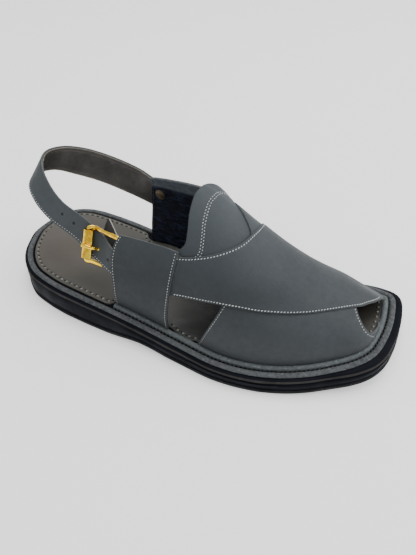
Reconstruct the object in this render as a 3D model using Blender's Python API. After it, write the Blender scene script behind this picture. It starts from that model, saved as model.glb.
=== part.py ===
"""Peshawari chappal, right shoe: cross-band sandal with a buckled back strap."""
import math

import bmesh
import bpy
import numpy as np
from mathutils import Vector

for old in list(bpy.data.objects):
    bpy.data.objects.remove(old, do_unlink=True)

# Main sizes, metres
sole_length = 0.295
ball_width = 0.107
heel_height = 0.0228
instep_height = 0.090
toe_spring = 0.0078
gap = 0.0003
bend_room = 0.0003

# Sole layers
tread_thickness = 0.0030
sole_flare = 0.0034
toe_flare = 0.0026
lip_step = 0.0008
lip_height = 0.0022
arch_rise = 0.0034
welt_width = 0.0042
welt_thickness = 0.0018
groove_width = 0.0014
bead_width = 0.0029
bead_height = 0.0029
insole_thickness = 0.0020
insole_edge_at_heel = 0.0060
insole_round = 0.0008
insole_ease = (0.272, 0.316)

# Leather
wall = 0.0019
layer_step = 0.0015
strap_thickness = 0.0024
strap_stand_off = 0.0012

# Buckle, guard and rivet
wire = 0.0020
roller_length = 0.0208
roller_wide = 0.0062
roller_high = 0.0042
roller_wall = 0.0005
prong_wire = 0.0017
bar_depth = 0.0026
slot_length = 0.0078
slot_width = 0.0026
guard_thickness = 0.0015
guard_dip = 0.0042
rivet_head = 0.0076
rivet_shank = 0.0030
rivet_head_height = 0.0011

# Derived lines, measured in from the welt's outer edge
bead_outer = welt_width + groove_width
upper_outer = bead_outer + bead_width + gap + bend_room
feather_line = upper_outer + wall
insole_edge = feather_line + gap + bend_room

outline_half = 48
upper_along = 30
upper_across = 13

# Outline: share of length, lateral and medial share of ball width
outline_table = [
    (0.012, 0.140, 0.178),
    (0.040, 0.285, 0.313),
    (0.090, 0.407, 0.386),
    (0.160, 0.472, 0.396),
    (0.250, 0.507, 0.377),
    (0.350, 0.523, 0.349),
    (0.450, 0.533, 0.335),
    (0.550, 0.559, 0.355),
    (0.650, 0.587, 0.407),
    (0.730, 0.568, 0.451),
    (0.800, 0.516, 0.473),
    (0.860, 0.444, 0.480),
    (0.910, 0.360, 0.475),
    (0.955, 0.266, 0.450),
    (0.985, 0.159, 0.411),
    (1.000, -0.014, 0.238),
]

# Height of the midsole's top: share of length, share of heel height
deck_table = [
    (0.00, 1.00), (0.27, 0.985), (0.36, 0.90), (0.44, 0.735), (0.54, 0.61),
    (0.65, 0.552), (0.73, 0.545), (0.81, 0.595), (0.90, 0.72), (1.00, 0.925),
]

# Underside: share of length, share of arch rise
arch_table = [
    (0.00, 0.0), (0.385, 0.0), (0.405, 0.75), (0.44, 1.0), (0.48, 0.6),
    (0.52, 0.1), (0.55, 0.0), (1.0, 0.0),
]
spring_start = 0.76

# Last sections: share of length, crown height as a share of instep height,
# crown place across as a share of ball width, lateral and medial fullness,
# outward lean of the medial wall as a share of ball width
last_table = [
    (0.27, 0.78, 0.000, 1.70, 3.2, 0.045),
    (0.37, 0.89, 0.019, 1.65, 3.2, 0.045),
    (0.46, 0.98, 0.037, 1.55, 3.0, 0.030),
    (0.53, 1.00, 0.056, 1.50, 2.6, 0.010),
    (0.59, 0.87, 0.047, 1.60, 2.4, 0.000),
    (0.65, 0.73, 0.037, 1.75, 2.4, 0.000),
    (0.74, 0.52, 0.023, 1.90, 2.3, 0.000),
    (0.81, 0.395, 0.028, 2.00, 2.2, 0.000),
    (0.875, 0.295, 0.056, 2.00, 2.1, 0.000),
    (0.93, 0.195, 0.084, 2.40, 2.4, 0.000),
    (0.985, 0.090, 0.103, 3.00, 3.0, 0.000),
]

# Band edges on the last: share of length, share across from lateral to medial
top_front = [
    (0.43, 0.120), (0.51, 0.140), (0.59, 0.170), (0.68, 0.210), (0.776, 0.270),
    (0.834, 0.320), (0.888, 0.390), (0.929, 0.490), (0.952, 0.66), (0.951, 0.84),
    (0.946, 1.000),
]
top_rear = [
    (0.43, 0.240), (0.515, 0.250), (0.563, 0.280), (0.603, 0.330), (0.634, 0.400),
    (0.651, 0.500), (0.661, 0.600), (0.659, 0.720), (0.641, 0.840), (0.614, 0.930),
    (0.590, 1.000),
]
under_front = [
    (0.43, 0.880), (0.51, 0.860), (0.59, 0.830), (0.68, 0.790), (0.776, 0.730),
    (0.834, 0.670), (0.880, 0.580), (0.910, 0.440), (0.936, 0.34), (0.950, 0.18),
    (0.949, 0.000),
]
under_rear = [
    (0.43, 0.760), (0.515, 0.750), (0.560, 0.690), (0.590, 0.600), (0.619, 0.530),
    (0.643, 0.480), (0.656, 0.400), (0.652, 0.280), (0.636, 0.180), (0.612, 0.090),
    (0.586, 0.000),
]
# Tongue: share across, free edge and hidden edge as shares of length
tongue_table = [
    (0.255, 0.505, 0.560), (0.285, 0.522, 0.590), (0.320, 0.521, 0.620),
    (0.370, 0.514, 0.650), (0.440, 0.511, 0.670), (0.500, 0.512, 0.676),
    (0.560, 0.511, 0.670), (0.630, 0.514, 0.650), (0.680, 0.521, 0.620),
    (0.715, 0.522, 0.590), (0.745, 0.505, 0.560),
]
# Quarters: rear edge as share across and share of length, then the front edge
lateral_quarter_table = [
    (0.000, 0.358, 0.000, 0.509), (0.050, 0.358, 0.050, 0.509), (0.100, 0.357, 0.100, 0.509),
    (0.160, 0.350, 0.160, 0.510), (0.190, 0.349, 0.190, 0.511), (0.230, 0.353, 0.230, 0.513),
    (0.262, 0.364, 0.262, 0.515),
]
medial_quarter_table = [
    (1.000, 0.322, 1.000, 0.500), (0.950, 0.321, 0.950, 0.500), (0.900, 0.322, 0.900, 0.500),
    (0.850, 0.327, 0.845, 0.502), (0.800, 0.332, 0.785, 0.505), (0.752, 0.337, 0.718, 0.508),
]

# Back strap, free part: top edge x, y, z and lower edge x, y, z
# as shares of sole length, ball width and instep height
strap_table = [
    (0.284, 0.350, 0.954, 0.265, 0.288, 0.702),
    (0.211, 0.300, 1.037, 0.192, 0.230, 0.792),
    (0.151, 0.228, 1.106, 0.129, 0.158, 0.872),
    (0.109, 0.133, 1.149, 0.082, 0.082, 0.933),
    (0.088, 0.034, 1.148, 0.059, -0.020, 0.946),
    (0.097, -0.054, 1.096, 0.063, -0.127, 0.922),
    (0.132, -0.133, 1.007, 0.099, -0.215, 0.852),
    (0.183, -0.195, 0.920, 0.155, -0.272, 0.767),
    (0.247, -0.222, 0.848, 0.221, -0.296, 0.690),
    (0.300, -0.250, 0.760, 0.274, -0.332, 0.612),
]
# Back strap ends on the last: share of length, top and lower share across
strap_medial_end = [(0.455, 0.800, 0.876), (0.405, 0.796, 0.876), (0.340, 0.789, 0.872)]
strap_lateral_end = [(0.352, 0.206, 0.140), (0.385, 0.196, 0.131), (0.415, 0.188, 0.124)]

# Buckle frame from the roller's upper end over the strap's top edge, and back under
# its lower edge: strap station, distance up the strap, distance outwards, in wires
frame_upper = [
    (11.62, 4.8, 1.40), (11.77, 5.8, 0.45),
    (11.93, 6.5, -0.40), (12.38, 8.2, -0.95), (12.98, 9.6, -1.60),
]
frame_lower = [
    (12.95, -4.0, -2.10), (12.60, -5.4, -1.60), (12.43, -6.0, -0.20),
    (12.30, -6.45, 0.90),
]
# Fixed bar on the last: share of length, share across
bar_table = [(0.3650, 0.256), (0.3655, 0.222), (0.3655, 0.188), (0.3645, 0.156)]
# Roller ends and the prong, in the same columns as the frame
roller_table = [(11.525, 2.375, 1.85), (12.075, -6.125, 1.85)]
prong_table = [
    (12.95, 2.60, -1.30), (12.62, 1.20, -1.35), (12.36, 0.10, -1.05), (12.17, -0.55, 0.35),
    (12.09, -0.80, 2.10), (12.00, -1.05, 3.20), (11.80, -1.70, 3.80), (11.60, -2.55, 3.65),
]
slot_place = (12.20, -0.45, 0.0)
# Buckle guard: share across, rear and front edges as shares of length
guard_table = [
    (0.105, 0.322, 0.452), (0.150, 0.313, 0.452), (0.200, 0.303, 0.450),
    (0.245, 0.298, 0.430), (0.270, 0.297, 0.385), (0.295, 0.299, 0.335),
    (0.314, 0.304, 0.309),
]
guard_rise = (0.418, 0.446)
guard_sink = (0.352, 0.300)
rivet_place = (0.355, 0.849)

colours = {
    "leather": (0.075, 0.088, 0.098),
    "strap": (0.072, 0.085, 0.096),
    "rand": (0.125, 0.140, 0.150),
    "sole": (0.010, 0.011, 0.014),
    "tread": (0.016, 0.017, 0.020),
    "insole": (0.115, 0.102, 0.085),
    "guard": (0.050, 0.052, 0.054),
    "gold": (0.80, 0.52, 0.10),
    "bronze": (0.16, 0.13, 0.085),
}


def smooth_curve(points, steps, closed=False):
    """Centripetal spline through the points."""
    pts = [np.array(p, float) for p in points]
    count = len(pts)
    if not closed:
        pts = [2 * pts[0] - pts[1]] + pts + [2 * pts[-1] - pts[-2]]
    out = []
    for i in range(count if closed else count - 1):
        if closed:
            a, b, c, d = (pts[(i + k - 1) % count] for k in range(4))
        else:
            a, b, c, d = pts[i:i + 4]
        ab = max(np.linalg.norm(b - a), 1e-9) ** 0.5
        bc = max(np.linalg.norm(c - b), 1e-9) ** 0.5
        cd = max(np.linalg.norm(d - c), 1e-9) ** 0.5
        start = (c - b) + bc * ((b - a) / ab - (c - a) / (ab + bc))
        end = (c - b) + bc * ((d - c) / cd - (d - b) / (bc + cd))
        for k in range(steps):
            t = k / steps
            out.append((2 * b - 2 * c + start + end) * t ** 3
                       + (-3 * b + 3 * c - 2 * start - end) * t * t + start * t + b)
    if not closed:
        out.append(pts[-2])
    return np.array(out)


def resample(curve, count):
    """Even spacing along an open polyline."""
    step = np.linalg.norm(np.diff(curve, axis=0), axis=1)
    run = np.concatenate([[0], np.cumsum(step)])
    at = np.linspace(0, run[-1], count)
    return np.column_stack([np.interp(at, run, curve[:, k]) for k in range(curve.shape[1])])


def table_value(table, column, share):
    """Value of a table's column, eased over the corners."""
    rows = np.array(table)
    reach = 0.018
    total = 0.0
    for k in (-2, -1, 0, 1, 2):
        total = total + np.interp(np.asarray(share) + k * reach, rows[:, 0], rows[:, column])
    return total / 5


def make_outline(half):
    """Welt's outer edge, heel centre round the lateral side to the toe and back."""
    lateral = [(0.0, 0.0)] + [(x * sole_length, -y * ball_width) for x, y, _ in outline_table]
    medial = [(x * sole_length, z * ball_width) for x, _, z in reversed(outline_table)]
    curve = smooth_curve(lateral + medial, 16, closed=True)
    curve = np.roll(curve, -int(np.argmin(curve[:, 0])), axis=0)
    front = int(np.argmax(curve[:, 0]))
    side = resample(curve[:front + 1], half + 1)
    back = resample(np.vstack([curve[front:], curve[:1]]), half + 1)
    ring = np.vstack([side[:-1], back[:-1]])
    along = np.roll(ring, -1, axis=0) - np.roll(ring, 1, axis=0)
    along /= np.linalg.norm(along, axis=1)[:, None]
    outward = np.column_stack([along[:, 1], -along[:, 0]])
    return ring, outward


outline, outward = make_outline(outline_half)
y_middle = (outline[:, 1].max() + outline[:, 1].min()) / 2
x_middle = (sole_length + toe_flare) / 2
shift = np.array([-x_middle, -y_middle, 0.0])


def offset_ring(amount):
    """Outline moved outwards by an amount, one value or one per point."""
    amount = np.broadcast_to(np.asarray(amount, float), (len(outline),))
    return outline + amount[:, None] * outward


def deck(x):
    """Height of the midsole's top."""
    return heel_height * table_value(deck_table, 1, x / sole_length)


def underside(x):
    """Height of the tread's lower face."""
    share = np.asarray(x) / sole_length
    rows = np.array(arch_table)
    rise = arch_rise * np.interp(share, rows[:, 0], rows[:, 1])
    spring = np.clip((share - spring_start) / (1 - spring_start), 0, None)
    return rise + toe_spring * spring ** 2


def side_flare(x):
    """How far the sole's side stands beyond the welt."""
    share = np.asarray(x) / sole_length
    nose = np.clip((share - 0.88) / 0.12, 0, 1)
    return sole_flare + toe_flare * nose * nose * (3 - 2 * nose)


def feather_lines():
    """Lateral and medial lines where the upper's inner face meets the sole."""
    fine, fine_outward = make_outline(outline_half * 4)
    ring = fine - feather_line * fine_outward
    low = int(np.argmin(ring[:, 0]))
    high = int(np.argmax(ring[:, 0]))
    ring = np.roll(ring, -low, axis=0)
    high = (high - low) % len(ring)
    lateral = ring[:high + 1]
    medial = ring[high:]
    lateral = lateral[np.argsort(lateral[:, 0])]
    medial = medial[np.argsort(medial[:, 0])]
    return lateral, medial


lateral_line, medial_line = feather_lines()


def last_point(x, t):
    """Point of the last's surface, t from 0 at the lateral edge to 1 at the medial."""
    share = x / sole_length
    height = instep_height * table_value(last_table, 1, share)
    crown = ball_width * table_value(last_table, 2, share)
    full_lateral = table_value(last_table, 3, share)
    full_medial = table_value(last_table, 4, share)
    lean = ball_width * table_value(last_table, 5, share)
    y_lateral = np.interp(x, lateral_line[:, 0], lateral_line[:, 1])
    y_medial = np.interp(x, medial_line[:, 0], medial_line[:, 1])
    angle = np.abs(2 * t - 1) * math.pi / 2
    is_lateral = t < 0.5
    power = 2 / np.where(is_lateral, full_lateral, full_medial)
    reach = np.where(is_lateral, y_lateral - crown, y_medial - crown)
    up = np.clip(np.cos(angle), 0, 1) ** power
    out = np.sin(angle) ** power
    tilt = lean * np.sin(math.pi * np.clip(up * 1.05, 0, 1) / 2) * out
    y = crown + reach * out + np.where(is_lateral, 0, tilt)
    z = deck(x) + gap + height * up
    return np.stack([x + 0 * t, y, z], -1)


def on_last(x, t, offset=0.0):
    """Point a distance off the last, along its normal."""
    x, t, offset = np.broadcast_arrays(np.asarray(x, float), np.asarray(t, float), np.asarray(offset, float))
    small = 0.001
    across = last_point(x, np.clip(t + small, 0, 1)) - last_point(x, np.clip(t - small, 0, 1))
    along = last_point(x + 0.001, t) - last_point(x - 0.001, t)
    normal = np.cross(along, across)
    normal /= np.maximum(np.linalg.norm(normal, axis=-1, keepdims=True), 1e-12)
    return last_point(x, t) + offset[..., None] * normal


def pressed(t, offset):
    """Layer offset, eased to nothing where the leather goes under the bead."""
    near = np.clip(np.minimum(t, 1 - t) / 0.09, 0, 1)
    return offset * near * near * (3 - 2 * near)


def material(name, colour, roughness, metallic=0.0):
    """Plain principled material."""
    mat = bpy.data.materials.new(name)
    mat.use_nodes = True
    node = mat.node_tree.nodes["Principled BSDF"]
    node.inputs["Base Color"].default_value = (*colours[colour], 1)
    node.inputs["Roughness"].default_value = roughness
    node.inputs["Metallic"].default_value = metallic
    return mat


def finish(name, bm, mat, angle=40):
    """Turn a bmesh into a named object in the part's frame."""
    bmesh.ops.translate(bm, verts=bm.verts, vec=Vector(shift))
    bmesh.ops.recalc_face_normals(bm, faces=bm.faces)
    mesh = bpy.data.meshes.new(name)
    bm.to_mesh(mesh)
    bm.free()
    mesh.materials.append(mat)
    obj = bpy.data.objects.new(name, mesh)
    bpy.context.scene.collection.objects.link(obj)
    obj.select_set(True)
    mesh.shade_smooth()
    mesh.set_sharp_from_angle(angle=math.radians(angle))
    obj.select_set(False)
    return obj


def grid_faces(bm, rows, wrap_rows=False, wrap_columns=False):
    """Quads between rows of vertices."""
    count = len(rows)
    width = len(rows[0])
    for i in range(count if wrap_rows else count - 1):
        for j in range(width if wrap_columns else width - 1):
            a = rows[i][j]
            b = rows[i][(j + 1) % width]
            c = rows[(i + 1) % count][(j + 1) % width]
            d = rows[(i + 1) % count][j]
            bm.faces.new((a, b, c, d))


def layered_plate(name, levels, mat, angle=40):
    """Solid inside rings stacked upwards; rungs close its top and bottom."""
    bm = bmesh.new()
    rings = []
    for ring, height in levels:
        rings.append([bm.verts.new((p[0], p[1], h)) for p, h in zip(ring, height)])
    grid_faces(bm, rings, wrap_columns=True)
    total = len(outline)
    for ring in (rings[0], rings[-1]):
        for i in range(outline_half):
            a = ring[i]
            b = ring[i + 1]
            c = ring[(total - i - 1) % total]
            d = ring[(total - i) % total]
            corners = [a, b] + ([c] if c is not b else []) + ([d] if d is not a else [])
            bm.faces.new(corners)
    bmesh.ops.triangulate(bm, faces=[f for f in bm.faces if len(f.verts) > 3])
    return finish(name, bm, mat, angle)


def swept_ring(name, profile, mat, chosen=None, angle=50):
    """Profile of inward distance and height above the deck, run along the outline."""
    bm = bmesh.new()
    points = range(len(outline)) if chosen is None else chosen
    rows = []
    for i in points:
        row = []
        for inward, height in profile:
            p = outline[i] - inward * outward[i]
            edge = outline[i] - profile[0][0] * outward[i]
            row.append(bm.verts.new((p[0], p[1], deck(edge[0]) + height)))
        rows.append(row)
    grid_faces(bm, rows, wrap_rows=chosen is None, wrap_columns=True)
    if chosen is not None:
        bm.faces.new(rows[0])
        bm.faces.new(rows[-1])
    return finish(name, bm, mat, angle)


def sheet(bm, inner, outer):
    """Closed thick sheet between two equal grids of points."""
    low = [[bm.verts.new(p) for p in row] for row in inner]
    high = [[bm.verts.new(p) for p in row] for row in outer]
    grid_faces(bm, low)
    grid_faces(bm, high)
    edge_low = low[0] + [r[-1] for r in low[1:-1]] + low[-1][::-1] + [r[0] for r in low[-2:0:-1]]
    edge_high = high[0] + [r[-1] for r in high[1:-1]] + high[-1][::-1] + [r[0] for r in high[-2:0:-1]]
    grid_faces(bm, [edge_low, edge_high], wrap_columns=True)


def leather_sheet(name, first, second, base, along, across, mat, thickness=wall):
    """Thick sheet on the last between two edge curves of (length share, share across)."""
    edge_a = resample_chart(first, along)
    edge_b = resample_chart(second, along)
    v = np.linspace(0, 1, across)[None, :, None]
    chart = edge_a[:, None, :] * (1 - v) + edge_b[:, None, :] * v
    x = chart[..., 0] * sole_length
    t = np.clip(chart[..., 1], 0, 1)
    low = pressed(t, base(chart[..., 0], t))
    inner = on_last(x, t, low)
    outer = on_last(x, t, low + thickness)
    bm = bmesh.new()
    sheet(bm, inner, outer)
    return finish(name, bm, mat)


def resample_chart(points, count):
    """Even parameter steps through an edge's table."""
    curve = smooth_curve(points, 12)
    at = np.linspace(0, len(curve) - 1, count)
    index = np.arange(len(curve))
    return np.column_stack([np.interp(at, index, curve[:, k]) for k in range(2)])


def apply_modifiers(obj):
    """Bake the modifier stack into the mesh."""
    deps = bpy.context.evaluated_depsgraph_get()
    mesh = bpy.data.meshes.new_from_object(obj.evaluated_get(deps))
    old = obj.data
    obj.modifiers.clear()
    obj.data = mesh
    bpy.data.meshes.remove(old)
    mesh.name = obj.name


def combine(target, other, operation):
    """Exact Boolean; the second object is used up."""
    mod = target.modifiers.new("bool", "BOOLEAN")
    mod.operation = operation
    mod.solver = "EXACT"
    mod.object = other
    apply_modifiers(target)
    mesh = other.data
    bpy.data.objects.remove(other, do_unlink=True)
    bpy.data.meshes.remove(mesh)


rubber = material("sole_rubber", "sole", 0.55)
tread_rubber = material("tread_rubber", "tread", 0.7)
rand_leather = material("rand_leather", "rand", 0.75)
bead_leather = material("bead_leather", "rand", 0.7)
insole_leather = material("insole_leather", "insole", 0.6)
upper_leather = material("upper_leather", "leather", 0.6)
strap_leather = material("strap_leather", "strap", 0.6)
guard_leather = material("guard_leather", "guard", 0.7)
buckle_gold = material("buckle_gold", "gold", 0.25, 1.0)
roller_gold = material("roller_gold", "gold", 0.28, 1.0)
prong_gold = material("prong_gold", "gold", 0.25, 1.0)
rivet_bronze = material("rivet_bronze", "bronze", 0.4, 1.0)

# Sole
ring_x = outline[:, 0]
flare = side_flare(ring_x)
under = underside(ring_x)
top = deck(ring_x)
tread_inset = 0.0012
layered_plate("outsole", [
    (offset_ring(flare - tread_inset), under),
    (offset_ring(flare), under + tread_thickness * 0.35),
    (offset_ring(flare), under + tread_thickness),
], tread_rubber)
foot_of_midsole = under + tread_thickness + gap
layered_plate("midsole", [
    (offset_ring(flare - lip_step), foot_of_midsole),
    (offset_ring(flare - lip_step * 0.6), (foot_of_midsole * 0.5 + top * 0.5)),
    (offset_ring(flare - lip_step * 1.6), top - lip_height - lip_step),
    (offset_ring(flare - lip_step * 0.7), top - lip_height),
    (offset_ring(flare - lip_step * 0.9), top - lip_step),
    (offset_ring(flare - lip_step * 2.2), top),
], rubber)

# Welt with softened edges
swept_ring("welt", [
    (0.0004, gap),
    (0.0, gap + welt_thickness * 0.6),
    (0.0008, gap + welt_thickness),
    (welt_width - 0.0006, gap + welt_thickness),
    (welt_width, gap + welt_thickness * 0.5),
    (welt_width, gap),
], rand_leather)

# Bead from the lateral quarter's rear edge round the toe to the medial quarter
bead_start = (0.354, 0.319)
bead_profile = []
for k in range(6):
    angle = math.pi * k / 5
    bead_profile.append((
        bead_outer + bead_width * (0.5 - 0.5 * math.cos(angle)),
        gap + bead_height * (0.35 + 0.65 * math.sin(angle)),
    ))
bead_profile = [(bead_outer, gap)] + bead_profile + [(bead_outer + bead_width, gap)]
bead_points = [
    i for i in range(len(outline))
    if ring_x[i] > bead_start[0 if i < outline_half else 1] * sole_length
]
swept_ring("toe_bead", bead_profile, bead_leather, chosen=bead_points)

# Insole, full to the groove round the heel and inside the upper further forward
ease = np.clip((ring_x / sole_length - insole_ease[0]) / (insole_ease[1] - insole_ease[0]), 0, 1)
ease = ease * ease * (3 - 2 * ease)
insole_line = insole_edge_at_heel + (insole_edge - insole_edge_at_heel) * ease
layered_plate("insole", [
    (offset_ring(-insole_line), top + gap),
    (offset_ring(-insole_line), top + gap + insole_thickness * 0.7),
    (offset_ring(-insole_line - insole_round), top + gap + insole_thickness),
], insole_leather)


# Upper: tongue, under band, top band and both quarters in one solid
def over_tongue(share, t):
    """Top band lies on the under band where they cross, else on the tongue."""
    forward = np.clip((share - 0.585) / 0.07, 0, 1)
    return layer_step * (1 + forward * forward * (3 - 2 * forward))


def flat(step):
    return lambda share, t: 0 * t + layer_step * step


tongue_free = [(row[1], row[0]) for row in tongue_table]
tongue_hidden = [(row[2], row[0]) for row in tongue_table]
upper = leather_sheet("upper", tongue_free, tongue_hidden, flat(0), 22, 9, upper_leather)
parts = [
    leather_sheet("under_band", under_front, under_rear, flat(1), upper_along, upper_across, upper_leather),
    leather_sheet("top_band", top_front, top_rear, over_tongue, upper_along, upper_across, upper_leather),
    leather_sheet(
        "lateral_quarter",
        [(row[1], row[0]) for row in lateral_quarter_table],
        [(row[3], row[2]) for row in lateral_quarter_table],
        flat(2), 10, 9, upper_leather),
    leather_sheet(
        "medial_quarter",
        [(row[1], row[0]) for row in medial_quarter_table],
        [(row[3], row[2]) for row in medial_quarter_table],
        flat(2), 10, 9, upper_leather),
]
for piece in parts:
    combine(upper, piece, "UNION")


# Back strap
def strap_stations():
    """Top edge, lower edge and outward direction at each station."""
    rows = []
    medial_offset = pressed(0.8, layer_step * 2) + wall + strap_stand_off + strap_thickness / 2
    lateral_offset = pressed(0.2, layer_step * 2) - gap - strap_thickness / 2
    for share, high, low in strap_medial_end:
        rows.append((on_last(share * sole_length, high, medial_offset),
                     on_last(share * sole_length, low, medial_offset)))
    for hx, hy, hz, lx, ly, lz in strap_table:
        rows.append((np.array([hx * sole_length, hy * ball_width, hz * instep_height]),
                     np.array([lx * sole_length, ly * ball_width, lz * instep_height])))
    for share, high, low in strap_lateral_end:
        rows.append((on_last(share * sole_length, high, lateral_offset),
                     on_last(share * sole_length, low, lateral_offset)))
    return rows


stations = strap_stations()
strap_top = smooth_curve([s[0] for s in stations], 4)
strap_low = smooth_curve([s[1] for s in stations], 4)


def strap_frames(top_edge, low_edge):
    """Middle line, width and outward directions of a strip."""
    middle = (top_edge + low_edge) / 2
    along = np.gradient(middle, axis=0)
    across = top_edge - low_edge
    out = np.cross(across, along)
    out /= np.linalg.norm(out, axis=1)[:, None]
    return middle, along, across, out


def build_strap():
    """Strip with a rounded medial end and a squared lateral one."""
    middle, along, across, out = strap_frames(strap_top, strap_low)
    bm = bmesh.new()
    rows = []
    for i in range(len(middle)):
        half = across[i] / 2
        row = []
        for side, depth in ((-1, 0.3), (-0.94, 0.5), (0, 0.5), (0.94, 0.5), (1, 0.3),
                            (1, -0.3), (0.94, -0.5), (0, -0.5), (-0.94, -0.5), (-1, -0.3)):
            row.append(bm.verts.new(middle[i] + half * side + out[i] * strap_thickness * depth))
        rows.append(row)
    grid_faces(bm, rows, wrap_columns=True)
    bm.faces.new(rows[0])
    bm.faces.new(rows[-1])
    return finish("back_strap", bm, strap_leather, 50)


strap = build_strap()
strap_middle, strap_along, strap_across, strap_out = strap_frames(strap_top, strap_low)
strap_across /= np.linalg.norm(strap_across, axis=1)[:, None]
at_sample = np.arange(len(strap_middle))


def beside_strap(station, up, outwards):
    """Point by the strap: distances up its width and outwards, in wires."""
    middle, across, out = (
        np.array([np.interp(station * 4, at_sample, field[:, k]) for k in range(3)])
        for field in (strap_middle, strap_across, strap_out)
    )
    return middle + wire * (up * across - outwards * out)


def wire_loop(name, path, radii, sides, mat, closed):
    """Round wire along a path of points."""
    bm = bmesh.new()
    rows = []
    count = len(path)
    normal = None
    for i in range(count):
        before = path[(i - 1) % count] if closed or i > 0 else path[0]
        after = path[(i + 1) % count] if closed or i < count - 1 else path[-1]
        along = (after - before) / np.linalg.norm(after - before)
        if normal is None:
            normal = np.cross(along, (0.0, 0.0, 1.0))
        normal = normal - along * np.dot(normal, along)
        normal /= np.linalg.norm(normal)
        other = np.cross(along, normal)
        row = []
        for k in range(sides):
            angle = 2 * math.pi * k / sides
            point = path[i] + radii[i] * (math.cos(angle) * normal + math.sin(angle) * other)
            row.append(bm.verts.new(point))
        rows.append(row)
    grid_faces(bm, rows, wrap_rows=closed, wrap_columns=True)
    if not closed:
        bm.faces.new(rows[0])
        bm.faces.new(rows[-1])
    return finish(name, bm, mat, 60)


def box_cutter(centre, along, across, sizes):
    """Box to cut with, on two directions."""
    along = along / np.linalg.norm(along)
    depth = np.cross(along, across)
    depth /= np.linalg.norm(depth)
    side = np.cross(depth, along)
    bm = bmesh.new()
    bmesh.ops.create_cube(bm, size=1.0)
    for vert in bm.verts:
        u, v, w = vert.co
        vert.co = centre + sizes[0] * u * along + sizes[1] * v * side + sizes[2] * w * depth
    return finish("cutter", bm, strap_leather)


# Roller: an oval sleeve over the strap
roller_high_end, roller_low_end = (beside_strap(*row) for row in roller_table)
roller_middle = (roller_high_end + roller_low_end) / 2
roller_axis = roller_high_end - roller_low_end
roller_axis /= np.linalg.norm(roller_axis)
roller_station = (roller_table[0][0] + roller_table[1][0]) / 2
outwards = beside_strap(roller_station, 0, 1) - beside_strap(roller_station, 0, 0)
roller_side = np.cross(roller_axis, outwards)
roller_side /= np.linalg.norm(roller_side)
roller_lift = np.cross(roller_side, roller_axis)
bm = bmesh.new()
sleeve = []
for end, inset in ((-0.5, 0), (0.5, 0), (0.5, roller_wall), (-0.5, roller_wall)):
    row = []
    for k in range(18):
        angle = 2 * math.pi * k / 18
        point = roller_middle + roller_axis * roller_length * end
        point = point + roller_side * (roller_wide / 2 - inset) * math.cos(angle)
        point = point + roller_lift * (roller_high / 2 - inset) * math.sin(angle)
        row.append(bm.verts.new(point))
    sleeve.append(row)
grid_faces(bm, sleeve, wrap_rows=True, wrap_columns=True)
finish("buckle_roller", bm, roller_gold)

# Buckle frame: outer bar through the roller, side bars and the fixed bar
bar_points = [on_last(share * sole_length, t, -bar_depth) for share, t in bar_table]
loop_points = [beside_strap(*row) for row in frame_upper] + bar_points
loop_points += [beside_strap(*row) for row in frame_lower]
loop_points += [roller_middle + roller_axis * roller_length * end for end in (-0.56, -0.4, 0.4, 0.56)]
frame_curve = smooth_curve(loop_points, 3, closed=True)
wire_loop("buckle_frame", frame_curve, [wire / 2] * len(frame_curve), 7, buckle_gold, True)

# Prong: looped round the fixed bar, up through the strap's slot and over the roller
hinge = (bar_points[1] + bar_points[2]) / 2
shank = smooth_curve([beside_strap(*row) for row in prong_table], 2)
lift = on_last(bar_table[1][0] * sole_length, 0.205, 0) - on_last(bar_table[1][0] * sole_length, 0.205, -wire)
lift /= np.linalg.norm(lift)
toward = shank[0] - hinge
toward = toward - lift * np.dot(toward, lift)
toward /= np.linalg.norm(toward)
loop_reach = wire / 2 + gap + prong_wire / 2
prong_path = []
for k in range(9):
    angle = math.radians(250 - 250 * k / 8)
    prong_path.append(hinge + loop_reach * (math.cos(angle) * lift - math.sin(angle) * toward))
prong_path = prong_path + list(shank[2:])
radii = [prong_wire / 2] * (len(prong_path) - 1) + [prong_wire * 0.58]
wire_loop("buckle_prong", prong_path, radii, 7, prong_gold, False)
slot_ends = [beside_strap(slot_place[0] + d, slot_place[1] + d * 4, 0) for d in (-0.05, 0.05)]
slot_along = slot_ends[1] - slot_ends[0]
slot_across = np.cross(slot_along, beside_strap(slot_place[0], 0, 1) - beside_strap(slot_place[0], 0, 0))
slot = box_cutter(beside_strap(*slot_place), slot_along, slot_across,
                  (slot_length, slot_width, strap_thickness * 3))
combine(strap, slot, "DIFFERENCE")

# Guard between the buckle and the foot, sewn under the quarter at its front
guard_depth = bar_depth + wire / 2 + gap + guard_thickness


def guard_base(share, t):
    """Lies inside the fixed bar, and rises to the bands past the strap's end."""
    rise = np.clip((share - guard_rise[0]) / (guard_rise[1] - guard_rise[0]), 0, 1)
    rise = rise * rise * (3 - 2 * rise)
    sink = np.clip((share - guard_sink[0]) / (guard_sink[1] - guard_sink[0]), 0, 1)
    height = guard_depth + layer_step - gap - bend_room - guard_thickness
    return -guard_depth + rise * height - sink * guard_dip


guard = leather_sheet(
    "buckle_guard",
    [(row[1], row[0]) for row in guard_table],
    [(row[2], row[0]) for row in guard_table],
    guard_base, 13, 7, guard_leather, guard_thickness)
hinge_across = np.cross(toward, lift)
hinge_room = (2 * loop_reach + prong_wire + 2 * gap, prong_wire + 2 * gap, guard_thickness * 4)
opening = box_cutter(hinge - lift * (loop_reach + gap), toward, hinge_across, hinge_room)
combine(guard, opening, "DIFFERENCE")

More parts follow.
